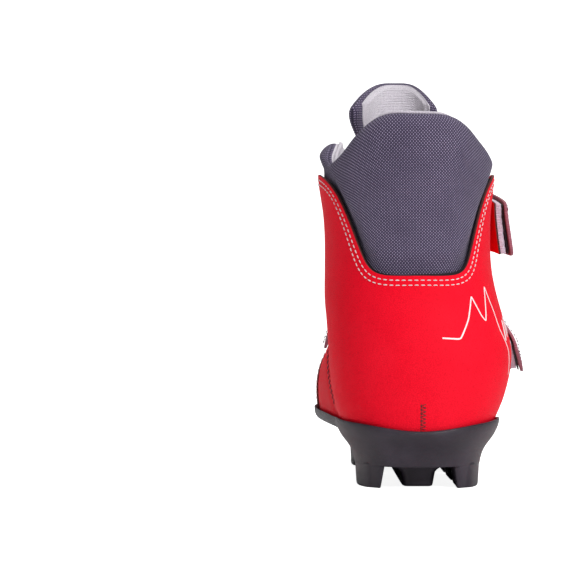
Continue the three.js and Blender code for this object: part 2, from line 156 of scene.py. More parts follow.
def leg_field(x, y, z):
    back = leg_back(z)
    front = leg_front(z)
    side = np.abs(x - leg_shift(z)) / leg_half(z)
    along = np.abs(y - (front + back) / 2) / ((front - back) / 2)
    return ((side ** LEG_ROUND + along ** LEG_ROUND) ** (1 / LEG_ROUND) - 1) * 40


def skin_field(p):
    """Below zero inside the upper, above zero outside it; p is an array of points."""
    x, y, z = p[..., 0], p[..., 1], p[..., 2]
    foot = foot_field(x, y, z)
    leg = leg_field(x, y, z)
    near = np.maximum(MELT - np.abs(foot - leg), 0) / MELT
    return np.minimum(foot, leg) - near * near * MELT / 4


# %% Finding points and directions on the skin
def slope(p):
    h = 0.4
    steps = np.eye(3) * h
    return np.stack([(skin_field(p + s) - skin_field(p - s)) / (2 * h) for s in steps], axis=-1)


def skin_normal(p):
    g = slope(p)
    return g / np.linalg.norm(g, axis=-1, keepdims=True)


def cast(start, direction, depth=0.0):
    """Where lines from inside leave the skin, moved in by depth, or out where it is negative."""
    inside = np.zeros(start.shape[:-1])
    outside = np.full(start.shape[:-1], 150.0)
    for _ in range(28):
        middle = (inside + outside) / 2
        is_in = skin_field(start + direction * middle[..., None]) < 0
        inside = np.where(is_in, middle, inside)
        outside = np.where(is_in, outside, middle)
    p = start + direction * outside[..., None]
    return p - skin_normal(p) * np.asarray(depth)[..., None]


def snap(p, depth=0.0):
    """Points near the skin, brought onto it and then moved in by depth."""
    p = np.array(p, float)
    for _ in range(6):
        g = slope(p)
        p = p - g * (skin_field(p) / np.sum(g * g, axis=-1))[..., None]
    return p - skin_normal(p) * np.asarray(depth)[..., None]


def stack(*columns):
    return np.stack(np.broadcast_arrays(*columns), axis=-1)


def heel_point(turn, z, depth=0.0):
    """About the heel's upright axis: turn 0 is the back, positive the outer side, in degrees."""
    turn, z, depth = matched(turn, z, depth)
    a = np.radians(turn)
    return cast(stack(0 * z, 0 * z + HEEL_CENTRE, z), stack(np.sin(a), -np.cos(a), 0 * a), depth)


def foot_point(y, roll, depth=0.0):
    """In a plane across the foot: roll 0 is the top, 90 level on the outer side, in degrees."""
    y, roll, depth = matched(y, roll, depth)
    a = np.radians(roll)
    return cast(stack(foot_shift(y), y, 0 * y + UPPER_FOOT), stack(np.sin(a), 0 * a, np.cos(a)), depth)


def front_point(x, z, depth=0.0):
    """On the front of the leg and instep, straight ahead of the upright axis."""
    x, z, depth = matched(x, z, depth)
    return cast(stack(x, 0 * z + HEEL_CENTRE, z), stack(0 * z, 0 * z + 1, 0 * z), depth)


BAR_IN_LAST = np.array([float(foot_shift(105)), 105.0, 5.6])
bar_low, bar_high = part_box("toe_bar")
SHIFT = (np.array(bar_low) + np.array(bar_high)) / 2 / MM - BAR_IN_LAST


def to_scene(p):
    return (np.asarray(p, float) + SHIFT) * MM


print("the last sits", np.round(SHIFT, 2), "mm from the frame's origin")

# %% [markdown]
# ## Making panels
# A shoe panel is a sheet with a thickness, two broad faces and a cut edge. It could be one
# surface with a Solidify modifier, but here both faces are placed by the formula, so the
# thickness is right everywhere, and the cut edge gets a material slot of its own.

# %% Panels from two faces and a cut edge
def grid(across, along):
    """Two arrays of 0 to 1, one column for each step across."""
    u, v = np.meshgrid(np.linspace(0, 1, across + 1), np.linspace(0, 1, along + 1), indexing="ij")
    return u, v


def finish_mesh(name, vertices, faces, smooth=True, slots=None, uv=None):
    """A closed mesh object from points in the last's millimetres, its faces turned outward."""
    mesh = bpy.data.meshes.new(name)
    mesh.from_pydata([tuple(p) for p in to_scene(vertices)], [], faces)
    if slots is not None:
        mesh.polygons.foreach_set("material_index", slots)
    if uv is not None:
        layer = mesh.uv_layers.new(name="cloth_mm")
        loops = np.zeros(len(mesh.loops), int)
        mesh.loops.foreach_get("vertex_index", loops)
        layer.data.foreach_set("uv", np.asarray(uv, float)[loops].ravel())
    if smooth:
        mesh.polygons.foreach_set("use_smooth", [True] * len(mesh.polygons))
    mesh.validate()
    mesh.update()
    piece = bpy.data.objects.new(name, mesh)
    bpy.context.scene.collection.objects.link(piece)
    body = bmesh.new()
    body.from_mesh(mesh)
    bmesh.ops.remove_doubles(body, verts=body.verts, dist=0.02 * MM)
    bmesh.ops.recalc_face_normals(body, faces=body.faces)
    body.to_mesh(mesh)
    body.free()
    return piece


def grid_faces(across, along, first=0, flip=False):
    i, j = np.meshgrid(np.arange(across), np.arange(along), indexing="ij")
    a = (first + i * (along + 1) + j).ravel()
    quads = np.stack([a, a + along + 1, a + along + 2, a + 1], axis=1)
    return quads[:, ::-1] if flip else quads


def tube_faces(rings, sides):
    """Quads between rings of points, with a cap on each end."""
    faces = []
    for i in range(rings - 1):
        for k in range(sides):
            n = (k + 1) % sides
            faces.append((i * sides + k, i * sides + n, (i + 1) * sides + n, (i + 1) * sides + k))
    faces.append(tuple(range(sides))[::-1])
    faces.append(tuple((rings - 1) * sides + k for k in range(sides)))
    return faces


def join_parts(name, parts, smooth=True):
    """One piece from several (points, faces) parts."""
    faces, first = [], 0
    for points, part_faces in parts:
        faces += [tuple(i + first for i in face) for face in part_faces]
        first += len(points)
    return finish_mesh(name, np.concatenate([points for points, _ in parts]), faces, smooth=smooth)


def border(across, along):
    """The indices round a grid's edge, in order."""
    row = along + 1
    low = [i * row for i in range(across)]
    end = [across * row + j for j in range(along)]
    high = [i * row + along for i in range(across, 0, -1)]
    start = list(range(along, 0, -1))
    return np.array(low + end + high + start)


def cloth_lengths(face):
    """Distances in millimetres along both directions of a grid of points, for its weave."""
    across = np.linalg.norm(np.diff(face, axis=0), axis=-1).mean(axis=1)
    along = np.linalg.norm(np.diff(face, axis=1), axis=-1).mean(axis=0)
    return np.stack(np.meshgrid(walked(across), walked(along), indexing="ij"), axis=-1).reshape(-1, 2)


def panel(name, place, across, along, edge):
    """place(u, v, w) gives a point; w is 1 on the outer face and 0 on the inner face."""
    u, v = grid(across, along)
    outer = place(u, v, 1.0)
    inner = place(u, v, 0.0)
    count = outer.shape[0] * outer.shape[1]
    ring = border(across, along)
    following = np.roll(ring, -1)
    rim = np.stack([ring, ring + count, following + count, following], axis=1)
    faces = np.concatenate([grid_faces(across, along), grid_faces(across, along, count, True), rim])
    slots = np.zeros(len(faces), int)
    slots[-len(rim):] = 1
    lengths = cloth_lengths(outer)
    points = np.concatenate([outer.reshape(-1, 3), inner.reshape(-1, 3)])
    piece = finish_mesh(name, points, faces.tolist(), slots=slots, uv=np.concatenate([lengths, lengths]))
    if edge:
        bevel = piece.modifiers.new("round edges", "BEVEL")
        bevel.width = edge * MM
        bevel.segments = 2
        bevel.limit_method = "ANGLE"
        bevel.angle_limit = math.radians(50)
    return piece


def dress(piece, body, slot, *materials, replaces=()):
    """Gives a piece its materials and the body it rides on, and hides the CAD nodes it stands for."""
    for material in materials:
        piece.data.materials.append(material)
    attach(piece, body)
    if replaces:
        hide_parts(*replaces)
    return piece


# %% [markdown]
# ## Finishes
# Each finish is a Principled shader fed by a few patterns. Patterns that several finishes need,
# such as fine grain and woven thread, are node groups, made once and given their own sizes.

# %% A short way to write node trees
class Tree:
    """Adds nodes to a tree and links their inputs from values or other sockets."""

    def __init__(self, tree):
        self.tree = tree
        self.column = 0

    def add(self, kind, inputs=None, **settings):
        node = self.tree.nodes.new(kind)
        node.location = (self.column * 180, 0)
        self.column += 1
        for key, value in settings.items():
            setattr(node, key, value)
        for key, value in (inputs or {}).items():
            if isinstance(value, bpy.types.NodeSocket):
                self.tree.links.new(value, node.inputs[key])
            else:
                node.inputs[key].default_value = value
        return node

    def math(self, operation, a, b=0.0, c=0.0):
        return self.add("ShaderNodeMath", {0: a, 1: b, 2: c}, operation=operation).outputs[0]

    def colour(self, fac, a, b):
        """Between two colours, each given as a socket or as its red, green and blue."""
        a, b = (c if isinstance(c, bpy.types.NodeSocket) else (*c, 1) for c in (a, b))
        return self.add("ShaderNodeMix", {0: fac, 6: a, 7: b}, data_type="RGBA").outputs[2]

    def noise(self, vector, scale, detail=3.0, roughness=0.55):
        node = self.add("ShaderNodeTexNoise", {"Vector": vector, "Scale": scale, "Detail": detail,
                                               "Roughness": roughness})
        return node.outputs["Fac"]

    def ramp(self, fac, low, high):
        node = self.add("ShaderNodeMapRange", {"Value": fac, "From Min": low, "From Max": high})
        node.interpolation_type = "SMOOTHSTEP"
        return node.outputs["Result"]


def new_group(name, inputs, outputs):
    """A shader node group with named float or vector sockets."""
    kinds = {"float": "NodeSocketFloat", "vector": "NodeSocketVector"}
    group = bpy.data.node_groups.new(name, "ShaderNodeTree")
    for way, sockets in (("INPUT", inputs), ("OUTPUT", outputs)):
        for title, kind in sockets:
            group.interface.new_socket(title, in_out=way, socket_type=kinds[kind])
    tree = Tree(group)
    return group, tree, tree.add("NodeGroupInput").outputs, tree.add("NodeGroupOutput")


def new_material(name, colour, roughness, **shader):
    """A material with a Principled shader; the rest of its sockets are set by name."""
    material = bpy.data.materials.new(name)
    material.use_nodes = True
    material.node_tree.nodes.clear()
    tree = Tree(material.node_tree)
    sockets = {key.replace("_", " "): value for key, value in shader.items()}
    sockets.update({"Base Color": (*colour, 1), "Roughness": roughness})
    bsdf = tree.add("ShaderNodeBsdfPrincipled", sockets)
    out = tree.add("ShaderNodeOutputMaterial")
    tree.tree.links.new(bsdf.outputs[0], out.inputs[0])
    material.diffuse_color = (*colour, 1)
    return material, tree, bsdf


def use(tree, group, **inputs):
    """The outputs of a shared pattern, with its inputs set by name."""
    named = {key.replace("_", " "): value for key, value in inputs.items()}
    return tree.add("ShaderNodeGroup", named, node_tree=group).outputs


def bump(tree, bsdf, height, distance, strength=1.0):
    node = tree.add("ShaderNodeBump", {"Height": height, "Distance": distance, "Strength": strength})
    tree.tree.links.new(node.outputs[0], bsdf.inputs["Normal"])


def feed(tree, node, **values):
    for key, value in values.items():
        tree.tree.links.new(value, node.inputs[key.replace("_", " ")])


# %% [markdown]
# ### Grain and weave groups
# Grain is what coated leather and moulded rubber share: cells that meet in fine creases, with
# slow blotches over them. Weave is what every textile here shares: over-and-under threads laid
# out in real millimetres along the piece, so that the thread count stays true on a curved pad.

# %% Grain group
def build_grain():
    group, tree, given, result = new_group(
        "grain", [("Vector", "vector"), ("Cells", "float"), ("Blotches", "float")],
        [("Height", "float"), ("Blotch", "float"), ("Crease", "float")])
    warp = tree.add("ShaderNodeTexNoise", {"Vector": given["Vector"], "Scale": 320.0, "Detail": 2.0})
    pushed = tree.add("ShaderNodeVectorMath",
                      {0: warp.outputs["Color"], 1: (0.0009, 0.0009, 0.0009), 2: given["Vector"]},
                      operation="MULTIPLY_ADD")
    cells = tree.add("ShaderNodeTexVoronoi", {"Vector": pushed.outputs[0], "Scale": given["Cells"]},
                     feature="DISTANCE_TO_EDGE")
    crease = tree.ramp(cells.outputs["Distance"], 0.0, 0.16)
    fine = tree.noise(given["Vector"], 2600.0, 2.0)
    blotch = tree.noise(given["Vector"], given["Blotches"], 4.0)
    height = tree.math("MULTIPLY_ADD", fine, 0.35, crease)
    feed(tree, result, Height=height, Blotch=blotch, Crease=crease)
    return group


GRAIN = build_grain()


# %% Weave group
def build_weave():
    group, tree, given, result = new_group(
        "weave", [("Millimetres", "vector"), ("Pitch across", "float"), ("Pitch along", "float"),
                  ("Irregular", "float")],
        [("Height", "float"), ("Over", "float"), ("Hole", "float")])
    wobble = tree.add("ShaderNodeTexNoise", {"Vector": given["Millimetres"], "Scale": 0.9, "Detail": 2.0})
    centred = tree.add("ShaderNodeVectorMath", {0: wobble.outputs["Color"], 1: (0.5, 0.5, 0.5)},
                       operation="SUBTRACT")
    scaled = tree.add("ShaderNodeVectorMath", {0: centred.outputs[0]}, operation="SCALE")
    tree.tree.links.new(given["Irregular"], scaled.inputs["Scale"])
    moved = tree.add("ShaderNodeVectorMath", {0: given["Millimetres"], 1: scaled.outputs[0]}, operation="ADD")
    parts = tree.add("ShaderNodeSeparateXYZ", {0: moved.outputs[0]})
    turns = [tree.math("MULTIPLY", tree.math("DIVIDE", parts.outputs[k], given[title]), math.pi)
             for k, title in ((0, "Pitch across"), (1, "Pitch along"))]
    waves = [tree.math("SINE", t) for t in turns]
    over = tree.math("MULTIPLY_ADD", tree.math("MULTIPLY", waves[0], waves[1]), 0.5, 0.5)
    ridges = [tree.math("ABSOLUTE", w) for w in waves]
    thread = tree.math("MAXIMUM", ridges[0], ridges[1])
    hole = tree.math("SUBTRACT", 1.0, tree.ramp(thread, 0.25, 0.75))
    weft = tree.math("MULTIPLY", over, ridges[0])
    warp = tree.math("MULTIPLY", tree.math("SUBTRACT", 1.0, over), ridges[1])
    height = tree.math("MAXIMUM", weft, warp)
    feed(tree, result, Height=height, Over=over, Hole=hole)
    return group


WEAVE = build_weave()


# %% Leather, its cut edge and the print
def place_vector(tree):
    return tree.add("ShaderNodeTexCoord").outputs["Object"]


def cloth_vector(tree):
    return tree.add("ShaderNodeUVMap", uv_map="cloth_mm").outputs["UV"]


def coated_leather(name, colour, dark):
    material, tree, bsdf = new_material(name, colour, 0.5, Specular_IOR_Level=0.03)
    spot = place_vector(tree)
    grain = use(tree, GRAIN, Vector=spot, Cells=1150.0, Blotches=22.0)
    blotchy = tree.colour(tree.ramp(grain["Blotch"], 0.3, 0.7), dark, colour)
    creased = tree.colour(tree.math("MULTIPLY", tree.math("SUBTRACT", 1.0, grain["Crease"]), 0.35), blotchy,
                          (dark[0] * 0.6, dark[1] * 0.5, dark[2] * 0.5))
    rough = tree.math("MULTIPLY_ADD", grain["Blotch"], 0.16, 0.4)
    feed(tree, bsdf, Base_Color=creased, Roughness=rough)
    soft = tree.noise(spot, 60.0, 3.0)
    height = tree.math("MULTIPLY_ADD", soft, 1.6, tree.math("MULTIPLY", grain["Height"], 0.5))
    bump(tree, bsdf, height, 0.00022, 0.5)
    return material


RED_LEATHER = coated_leather("red leather", (0.95, 0.01, 0.03), (0.88, 0.005, 0.022))
CUT_EDGE, edge_tree, edge_bsdf = new_material("leather cut edge", (0.09, 0.012, 0.012), 0.85)
edge_fibre = edge_tree.noise(place_vector(edge_tree), 1800.0, 4.0)
edge_tone = edge_tree.colour(edge_fibre, (0.05, 0.008, 0.008), (0.2, 0.05, 0.04))
feed(edge_tree, edge_bsdf, Base_Color=edge_tone)
bump(edge_tree, edge_bsdf, edge_fibre, 0.0003)


# %% Textile, plush, tape and pile
def woven(name, light, dark, pitch, irregular, sheen, gap_colour):
    material, tree, bsdf = new_material(name, light, 0.82, Sheen_Weight=sheen, Sheen_Roughness=0.5,
                                        Specular_IOR_Level=0.25)
    weave = use(tree, WEAVE, Millimetres=cloth_vector(tree), Pitch_across=pitch[0], Pitch_along=pitch[1],
                Irregular=irregular)
    fibre = tree.noise(place_vector(tree), 2400.0, 3.0)
    cloudy = tree.noise(place_vector(tree), 45.0, 3.0)
    tone = tree.math("MULTIPLY_ADD", fibre, 0.5, tree.math("MULTIPLY", cloudy, 0.5))
    crown = tree.math("MULTIPLY", tree.ramp(weave["Over"], 0.42, 0.8), weave["Height"])
    thread = tree.colour(tree.ramp(crown, 0.1, 0.9), dark, light)
    varied = tree.colour(tree.math("MULTIPLY", tree.ramp(tone, 0.35, 0.65), 0.45), thread, dark)
    holed = tree.colour(tree.math("MULTIPLY", weave["Hole"], 0.8), varied, gap_colour)
    rough = tree.math("MULTIPLY_ADD", fibre, 0.2, 0.72)
    feed(tree, bsdf, Base_Color=holed, Roughness=rough)
    height = tree.math("MULTIPLY_ADD", fibre, 0.25, weave["Height"])
    bump(tree, bsdf, height, 0.0004, 0.8)
    return material


COLLAR_TEXTILE = woven("grey collar textile", (0.42, 0.35, 0.52), (0.055, 0.042, 0.085), (0.64, 0.62), 0.2,
                       0.1, (0.012, 0.01, 0.018))
BAND_TEXTILE = woven("strap band textile", (0.62, 0.27, 0.33), (0.36, 0.12, 0.17), (0.5, 0.8), 0.12, 0.2,
                     (0.1, 0.03, 0.04))


def plush(name, light, dark, rib):
    material, tree, bsdf = new_material(name, light, 0.95, Sheen_Weight=0.5, Sheen_Roughness=0.6,
                                        Specular_IOR_Level=0.15)
    weave = use(tree, WEAVE, Millimetres=cloth_vector(tree), Pitch_across=0.7, Pitch_along=rib,
                Irregular=0.35)
    fuzz = tree.noise(place_vector(tree), 1500.0, 5.0, 0.7)
    lie = tree.noise(place_vector(tree), 120.0, 3.0)
    tone = tree.colour(tree.ramp(fuzz, 0.3, 0.7), dark, light)
    ribbed = tree.colour(tree.math("MULTIPLY", weave["Hole"], 0.25), tone, dark)
    brushed = tree.colour(tree.math("MULTIPLY", tree.ramp(lie, 0.4, 0.7), 0.2), ribbed, dark)
    feed(tree, bsdf, Base_Color=brushed)
    bump(tree, bsdf, tree.math("MULTIPLY_ADD", weave["Height"], 0.7, fuzz), 0.0007, 0.9)
    return material


PLUSH = plush("pale plush lining", (0.88, 0.83, 0.9), (0.68, 0.62, 0.7), 1.1)
LOOP_PILE = plush("loop pile", (0.86, 0.8, 0.94), (0.6, 0.54, 0.68), 0.9)


# %% Rubber, hook tape, thread, steel and the hidden stiffeners
def moulded(name, colour, roughness, cells, depth, specular=0.45):
    material, tree, bsdf = new_material(name, colour, roughness, Specular_IOR_Level=specular)
    grain = use(tree, GRAIN, Vector=place_vector(tree), Cells=cells, Blotches=40.0)
    dusty = tuple(c * 2.1 + 0.012 for c in colour)
    tone = tree.colour(tree.math("MULTIPLY", tree.ramp(grain["Blotch"], 0.45, 0.75), 0.5), colour, dusty)
    rough = tree.math("MULTIPLY_ADD", grain["Blotch"], 0.22, roughness - 0.1)
    feed(tree, bsdf, Base_Color=tone, Roughness=rough)
    bump(tree, bsdf, grain["Height"], depth, 0.45)
    return material


SOLE_RUBBER = moulded("sole rubber", (0.02, 0.0135, 0.0235), 0.42, 1500.0, 0.00012)
HOOK_TAPE = moulded("hook tape", (0.012, 0.01, 0.013), 0.6, 1300.0, 0.0006)
# Black for the backing layers, which also paint the shadow in the gap under the topline and under the loop
# pile.
BLACK_BACKING_AND_SHADOW = moulded("black backing and painted shadow", (0.02, 0.017, 0.022), 0.8, 1900.0, 0.0003, 0.2)
STIFFENER = moulded("stiffener sheet", (0.62, 0.57, 0.48), 0.7, 700.0, 0.0002)
INSOLE_BOARD = moulded("insole board", (0.42, 0.3, 0.17), 0.85, 900.0, 0.0002)
FOOTBED = woven("footbed cloth", (0.16, 0.15, 0.17), (0.08, 0.075, 0.09), (0.9, 0.9), 0.2,
                0.2, (0.03, 0.03, 0.03))


def spun_thread(name, colour):
    material, tree, bsdf = new_material(name, colour, 0.65, Sheen_Weight=0.3, Specular_IOR_Level=0.3)
    twist = tree.add("ShaderNodeTexWave", {"Vector": place_vector(tree), "Scale": 900.0, "Distortion": 3.0})
    shade = tuple(c * 0.72 for c in colour)
    feed(tree, bsdf, Base_Color=tree.colour(tree.math("MULTIPLY", twist.outputs["Fac"], 0.6), colour,
                                            shade))
    bump(tree, bsdf, twist.outputs["Fac"], 0.0001)
    return material


WHITE_THREAD = spun_thread("white thread", (0.86, 0.8, 0.82))
DARK_THREAD = spun_thread("dark red thread", (0.06, 0.004, 0.006))
PAINT_COLOUR = (0.86, 0.8, 0.82)
PRINT_WHITE, print_tree, print_bsdf = new_material("white print", PAINT_COLOUR, 0.5, Specular_IOR_Level=0.4)
print_wear = print_tree.noise(place_vector(print_tree), 900.0, 4.0)
feed(print_tree, print_bsdf, Base_Color=print_tree.colour(print_tree.ramp(print_wear, 0.6, 0.8),
                                                          (0.88, 0.82, 0.84), (0.8, 0.35, 0.36)))
bump(print_tree, print_bsdf, print_wear, 0.0001)


def drawn_steel():
    material, tree, bsdf = new_material("toe bar steel", (0.58, 0.58, 0.6), 0.3, Metallic=1.0)
    spot = tree.add("ShaderNodeMapping", {"Vector": place_vector(tree), "Scale": (30.0, 1.0, 1.0)})
    scratch = tree.noise(spot.outputs[0], 500.0, 4.0)
    feed(tree, bsdf, Roughness=tree.math("MULTIPLY_ADD", scratch, 0.3, 0.18))
    bump(tree, bsdf, scratch, 0.00005)
    return material


BAR_STEEL = drawn_steel()
print(len(bpy.data.materials), "finishes and", len(bpy.data.node_groups), "shared patterns")

# %% [markdown]
# ## The red upper
# One red panel wraps round the heel, low behind the ankle and high at its sides, and a second
# covers the forefoot, with a cap over the toes. On the real boot they are flat pieces pulled over
# the last. Here each is a grid whose rows run from its low edge to its top edge, so the edge
# curve is exact and the stitch rows can follow it.

# %% Edges of the panels
LEATHER = 1.4
THROAT_HALF = 22.0
quarter_top = through((0, 98), (16, 98.2), (23, 100), (28, 104), (34, 112), (44, 126), (54, 137), (66, 143),
                      (85, 146), (105, 146), (130, 142), (160, 134))
collar_outer = through((0, 172), (22, 171.5), (42, 163), (60, 156), (78, 153.5), (105, 153.5), (155, 151))
collar_inner = through((0, 172), (20, 171.5), (34, 165), (48, 155.5), (62, 151), (75, 152.5), (88, 160),
                       (98, 163), (110, 161), (125, 155.5), (155, 151))


def collar_top(turn):
    return np.where(turn < 0, collar_inner(np.abs(turn)), collar_outer(np.abs(turn)))


def vamp_back(roll):
    return 12 + 39 * np.maximum(np.cos(np.radians(roll)), 0) ** 1.25


def toe_cap_back(roll):
    return 72 - 7 * np.cos(np.radians(roll)) ** 2


def turn_of(p):
    return np.degrees(np.arctan2(np.abs(p[..., 0]), HEEL_CENTRE - p[..., 1]))


def front_edge(sign):
    """The quarter's front edge: turn for each height, up the vamp's seam and then beside the throat."""
    roll = np.arange(90, 10, -3.0)
    seam = foot_point(vamp_back(roll), sign * roll)
    seam = seam[np.abs(seam[:, 0] - foot_shift(seam[:, 1])) > THROAT_HALF + 1]
    z = np.arange(math.ceil(seam[-1, 2] + 5), 150, 6.0)
    throat = front_point(leg_shift(z) + sign * THROAT_HALF, z)
    line = np.concatenate([seam, throat])
    return through(*zip(line[:, 2], turn_of(line)))


EDGE_OUTER = front_edge(1)
EDGE_INNER = front_edge(-1)


def wrap_place(u, v, low, top, trim=0.0, reach=180.0):
    """Turn and height on a heel panel: u from the inner front edge round to the outer one."""
    s = 2 * np.asarray(u, float) - 1
    turn = s * 120
    z = mix(low, top(turn), v)
    for _ in range(8):
        edge = np.where(s < 0, EDGE_INNER(z), EDGE_OUTER(z))
        turn = s * np.minimum(edge - trim, reach)
        z = mix(low, top(turn), v)
    return turn, z


# %% The quarter
CROWDING = 0.012


def quarter_place(u, v, w):
    u = u + CROWDING * np.sin(4 * np.pi * u)
    turn, z = wrap_place(u, v, UPPER_FOOT, lambda turn: quarter_top(np.abs(turn)), 0.4)
    return heel_point(turn, z, LEATHER * (1 - w))


quarter = panel("red_quarter", quarter_place, 260, 70, edge=0.4)
dress(quarter, "boot", "red_leather", RED_LEATHER, CUT_EDGE, replaces=["quarter"])
print("quarter:", len(quarter.data.vertices), "points")


# %% The black strip that shows past the quarter's top edge: partly a backing layer, partly painted shadow in the gap
def backing_and_shadow_place(u, v, w):
    u = u + CROWDING * np.sin(4 * np.pi * u)
    turn, z = wrap_place(u, 1.0, UPPER_FOOT, lambda turn: quarter_top(np.abs(turn)), 0.9)
    # How far the strip shows past the edge, uneven like the painted shadow gap it stands for.
    show = 1.0 + 0.4 * np.sin(u * 37) - 1.9 * smoothstep(np.abs(turn), 58, 70)
    z = z + show - 9.0 * (1 - v)
    return heel_point(turn, z, 1.55 + 0.5 * (1 - w) - 0.5 * smoothstep(v, 0.8, 1))


# A black strip under the quarter's edge: a real backing layer that also paints the shadow gap.
backing = panel("topline_backing_and_shadow", backing_and_shadow_place, 260, 10, edge=0.15)
dress(backing, "boot", "red_leather", BLACK_BACKING_AND_SHADOW, BLACK_BACKING_AND_SHADOW)

# %% Vamp and toe cap
def vamp_place(u, v, w):
    roll = mix(-90, 90, u)
    y = mix(vamp_back(roll) - 3.0, toe_cap_back(roll) + 2.5, v)
    under = 0.9 * (1 - smoothstep(v, 0.0, 0.2)) + 0.9 * smoothstep(v, 0.75, 0.95)
    return foot_point(y, roll, under + 0.3 + LEATHER * (1 - w) * 0.8)


def toe_place(u, v, w):
    bearing = np.radians(mix(-90, 90, u))
    lift = np.radians(90 * v)
    y = toe_cap_back(90 - 90 * v)
    start = stack(foot_shift(y), y, 0 * y + UPPER_FOOT)
    way = stack(np.sin(bearing) * np.cos(lift), np.cos(bearing) * np.cos(lift), np.sin(lift) + 0 * bearing)
    return cast(start, way, LEATHER * (1 - w) * 0.9)


vamp = panel("red_vamp", vamp_place, 120, 40, edge=0.3)
dress(vamp, "boot", "red_leather", RED_LEATHER, CUT_EDGE, replaces=["vamp"])
toe_cap = panel("red_toe_cap", toe_place, 110, 50, edge=0.3)
dress(toe_cap, "boot", "red_leather", RED_LEATHER, CUT_EDGE, replaces=["toe_cap"])

# %% [markdown]
# ## Stitching
# Sewing thread shows as a row of short raised arcs that dive into the leather at both ends. A
# texture could fake it, but at this scale each stitch catches the light on its own, so each is a
# small closed capsule, laid by a loop along a curve set in from the panel's edge.

# %% Rows of stitches
def resample(path, step):
    lengths = walked(np.linalg.norm(np.diff(path, axis=0), axis=1))
    count = max(int(lengths[-1] / step), 1)
    at = np.linspace(0, lengths[-1], count + 1)
    return np.stack([np.interp(at, lengths, path[:, k]) for k in range(3)], axis=-1)


def set_in(path, distance, depth=0.0):
    """A row set in from an edge: to the left of the path, seen from outside the skin."""
    fine = resample(path, 1.0)
    along = np.gradient(fine, axis=0)
    along /= np.linalg.norm(along, axis=1, keepdims=True)
    side = np.cross(skin_normal(fine), along)
    return snap(fine + side * distance, depth)


def along_path(path):
    """The middles of a path's steps, their directions and their lengths."""
    steps = path[1:] - path[:-1]
    lengths = np.linalg.norm(steps, axis=1, keepdims=True)
    return (path[1:] + path[:-1]) / 2, steps / lengths, lengths


def capsule_row(path, length, radius, rise, lift=0.0):
    """Closed capsules on a path's steps, each arched over the surface and sunk at its ends."""
    rings, sides = 7, 6
    centres, tangents, _ = along_path(path)
    normals = skin_normal(centres)
    centres = centres + normals * lift
    t = np.linspace(-1, 1, rings)
    around = np.linspace(0, 2 * np.pi, sides, endpoint=False)
    girth = radius * np.sqrt(np.maximum(1 - t ** 4, 0.02))
    sideways = np.cross(normals, tangents)
    spine = (centres[:, None] + tangents[:, None] * (t * length / 2)[None, :, None]
             + normals[:, None] * (rise * (1 - t ** 2) - 0.15)[None, :, None])
    ring = (sideways[:, None, None] * np.cos(around)[None, None, :, None]
            + normals[:, None, None] * np.sin(around)[None, None, :, None])
    points = spine[:, :, None] + ring * girth[None, :, None, None]
    one = tube_faces(rings, sides)
    every = [tuple(f + rings * sides * n for f in face) for n in range(len(centres)) for face in one]
    return points.reshape(-1, 3), every


STITCH = 2.05
STITCH_GAP = 0.85


def stitch_rows(name, paths, material=WHITE_THREAD, thread=0.28, rise=0.16, lift=0.12):
    """One piece that holds every stitch of some rows; paths lie on the outer face."""
    parts = [capsule_row(resample(path, STITCH + STITCH_GAP), STITCH, thread, rise, lift) for path in paths]
    piece = join_parts(name, parts)
    piece.data.materials.append(material)
    return piece


turn = np.linspace(-158, 158, 900)
rim = heel_point(turn, quarter_top(np.abs(turn)))


def quarter_front(sign):
    """The front edge on one side, from the sole up to the top corner."""
    z = np.linspace(UPPER_FOOT + 8, 131, 260)
    edge = EDGE_OUTER(z) if sign > 0 else EDGE_INNER(z)
    return heel_point(sign * (edge - 0.4), z)


roll = np.linspace(-82, 82, 300)
cap_edge = foot_point(toe_cap_back(roll), roll)
ROWS = {"topline_stitches": ([set_in(rim, -d)[6:-6] for d in (2.3, 4.7)], WHITE_THREAD),
        "front_edge_stitches_outer": ([set_in(quarter_front(1), d) for d in (1.9, 4.1)], WHITE_THREAD),
        "front_edge_stitches_inner": ([set_in(quarter_front(-1), -d) for d in (1.9, 4.1)], DARK_THREAD),
        "toe_cap_stitches": ([set_in(cap_edge, -d)[3:-3] for d in (1.7, 3.6)], WHITE_THREAD)}
for title, (lines, thread) in ROWS.items():
    dress(stitch_rows(title, lines, thread), "boot", "red_leather")
print("stitch rows:", sum(len(lines) for lines, _ in ROWS.values()))


# %% [markdown]
# ### Heel dart and print
# The flat quarter has to close into a cup under the heel. A short dart low at the back does that,
# pulled shut by a zigzag of dark thread. Beside it the outer side carries a thin printed line
# drawing, here a plain mountain ridge, laid on as a flat ribbon of paint a tenth of a millimetre
# proud.

# %% The dart and its zigzag
z = np.arange(27.5, 39.8, 0.85)
zigzag = heel_point(np.where(np.arange(len(z)) % 2 == 0, 2.3, -0.6) + 0.2, z)
seam_z = np.linspace(26, 39.5, 40)
seam = heel_point(0 * seam_z + 0.2, seam_z)
tooth = float(along_path(zigzag)[2].mean())
heel_dart = join_parts("heel_dart_thread", [capsule_row(zigzag, tooth, 0.18, 0.12, 0.08),
                                            capsule_row(seam, 0.5, 0.24, 0.04)])
dress(heel_dart, "boot", "red_leather", DARK_THREAD)

# %% The printed ridge line
def ribbon(path, width, lift=0.1):
    """A flat closed strip of paint along a path on the skin."""
    way = np.gradient(path, axis=0)
    way /= np.linalg.norm(way, axis=1, keepdims=True)
    normal = skin_normal(path)
    side = np.cross(normal, way) * width / 2
    loops = [path - side + normal * 0.02, path - side * 0.9 + normal * lift,
             path + side * 0.9 + normal * lift, path + side + normal * 0.02]
    return np.stack(loops, axis=1).reshape(-1, 3), tube_faces(len(path), 4)


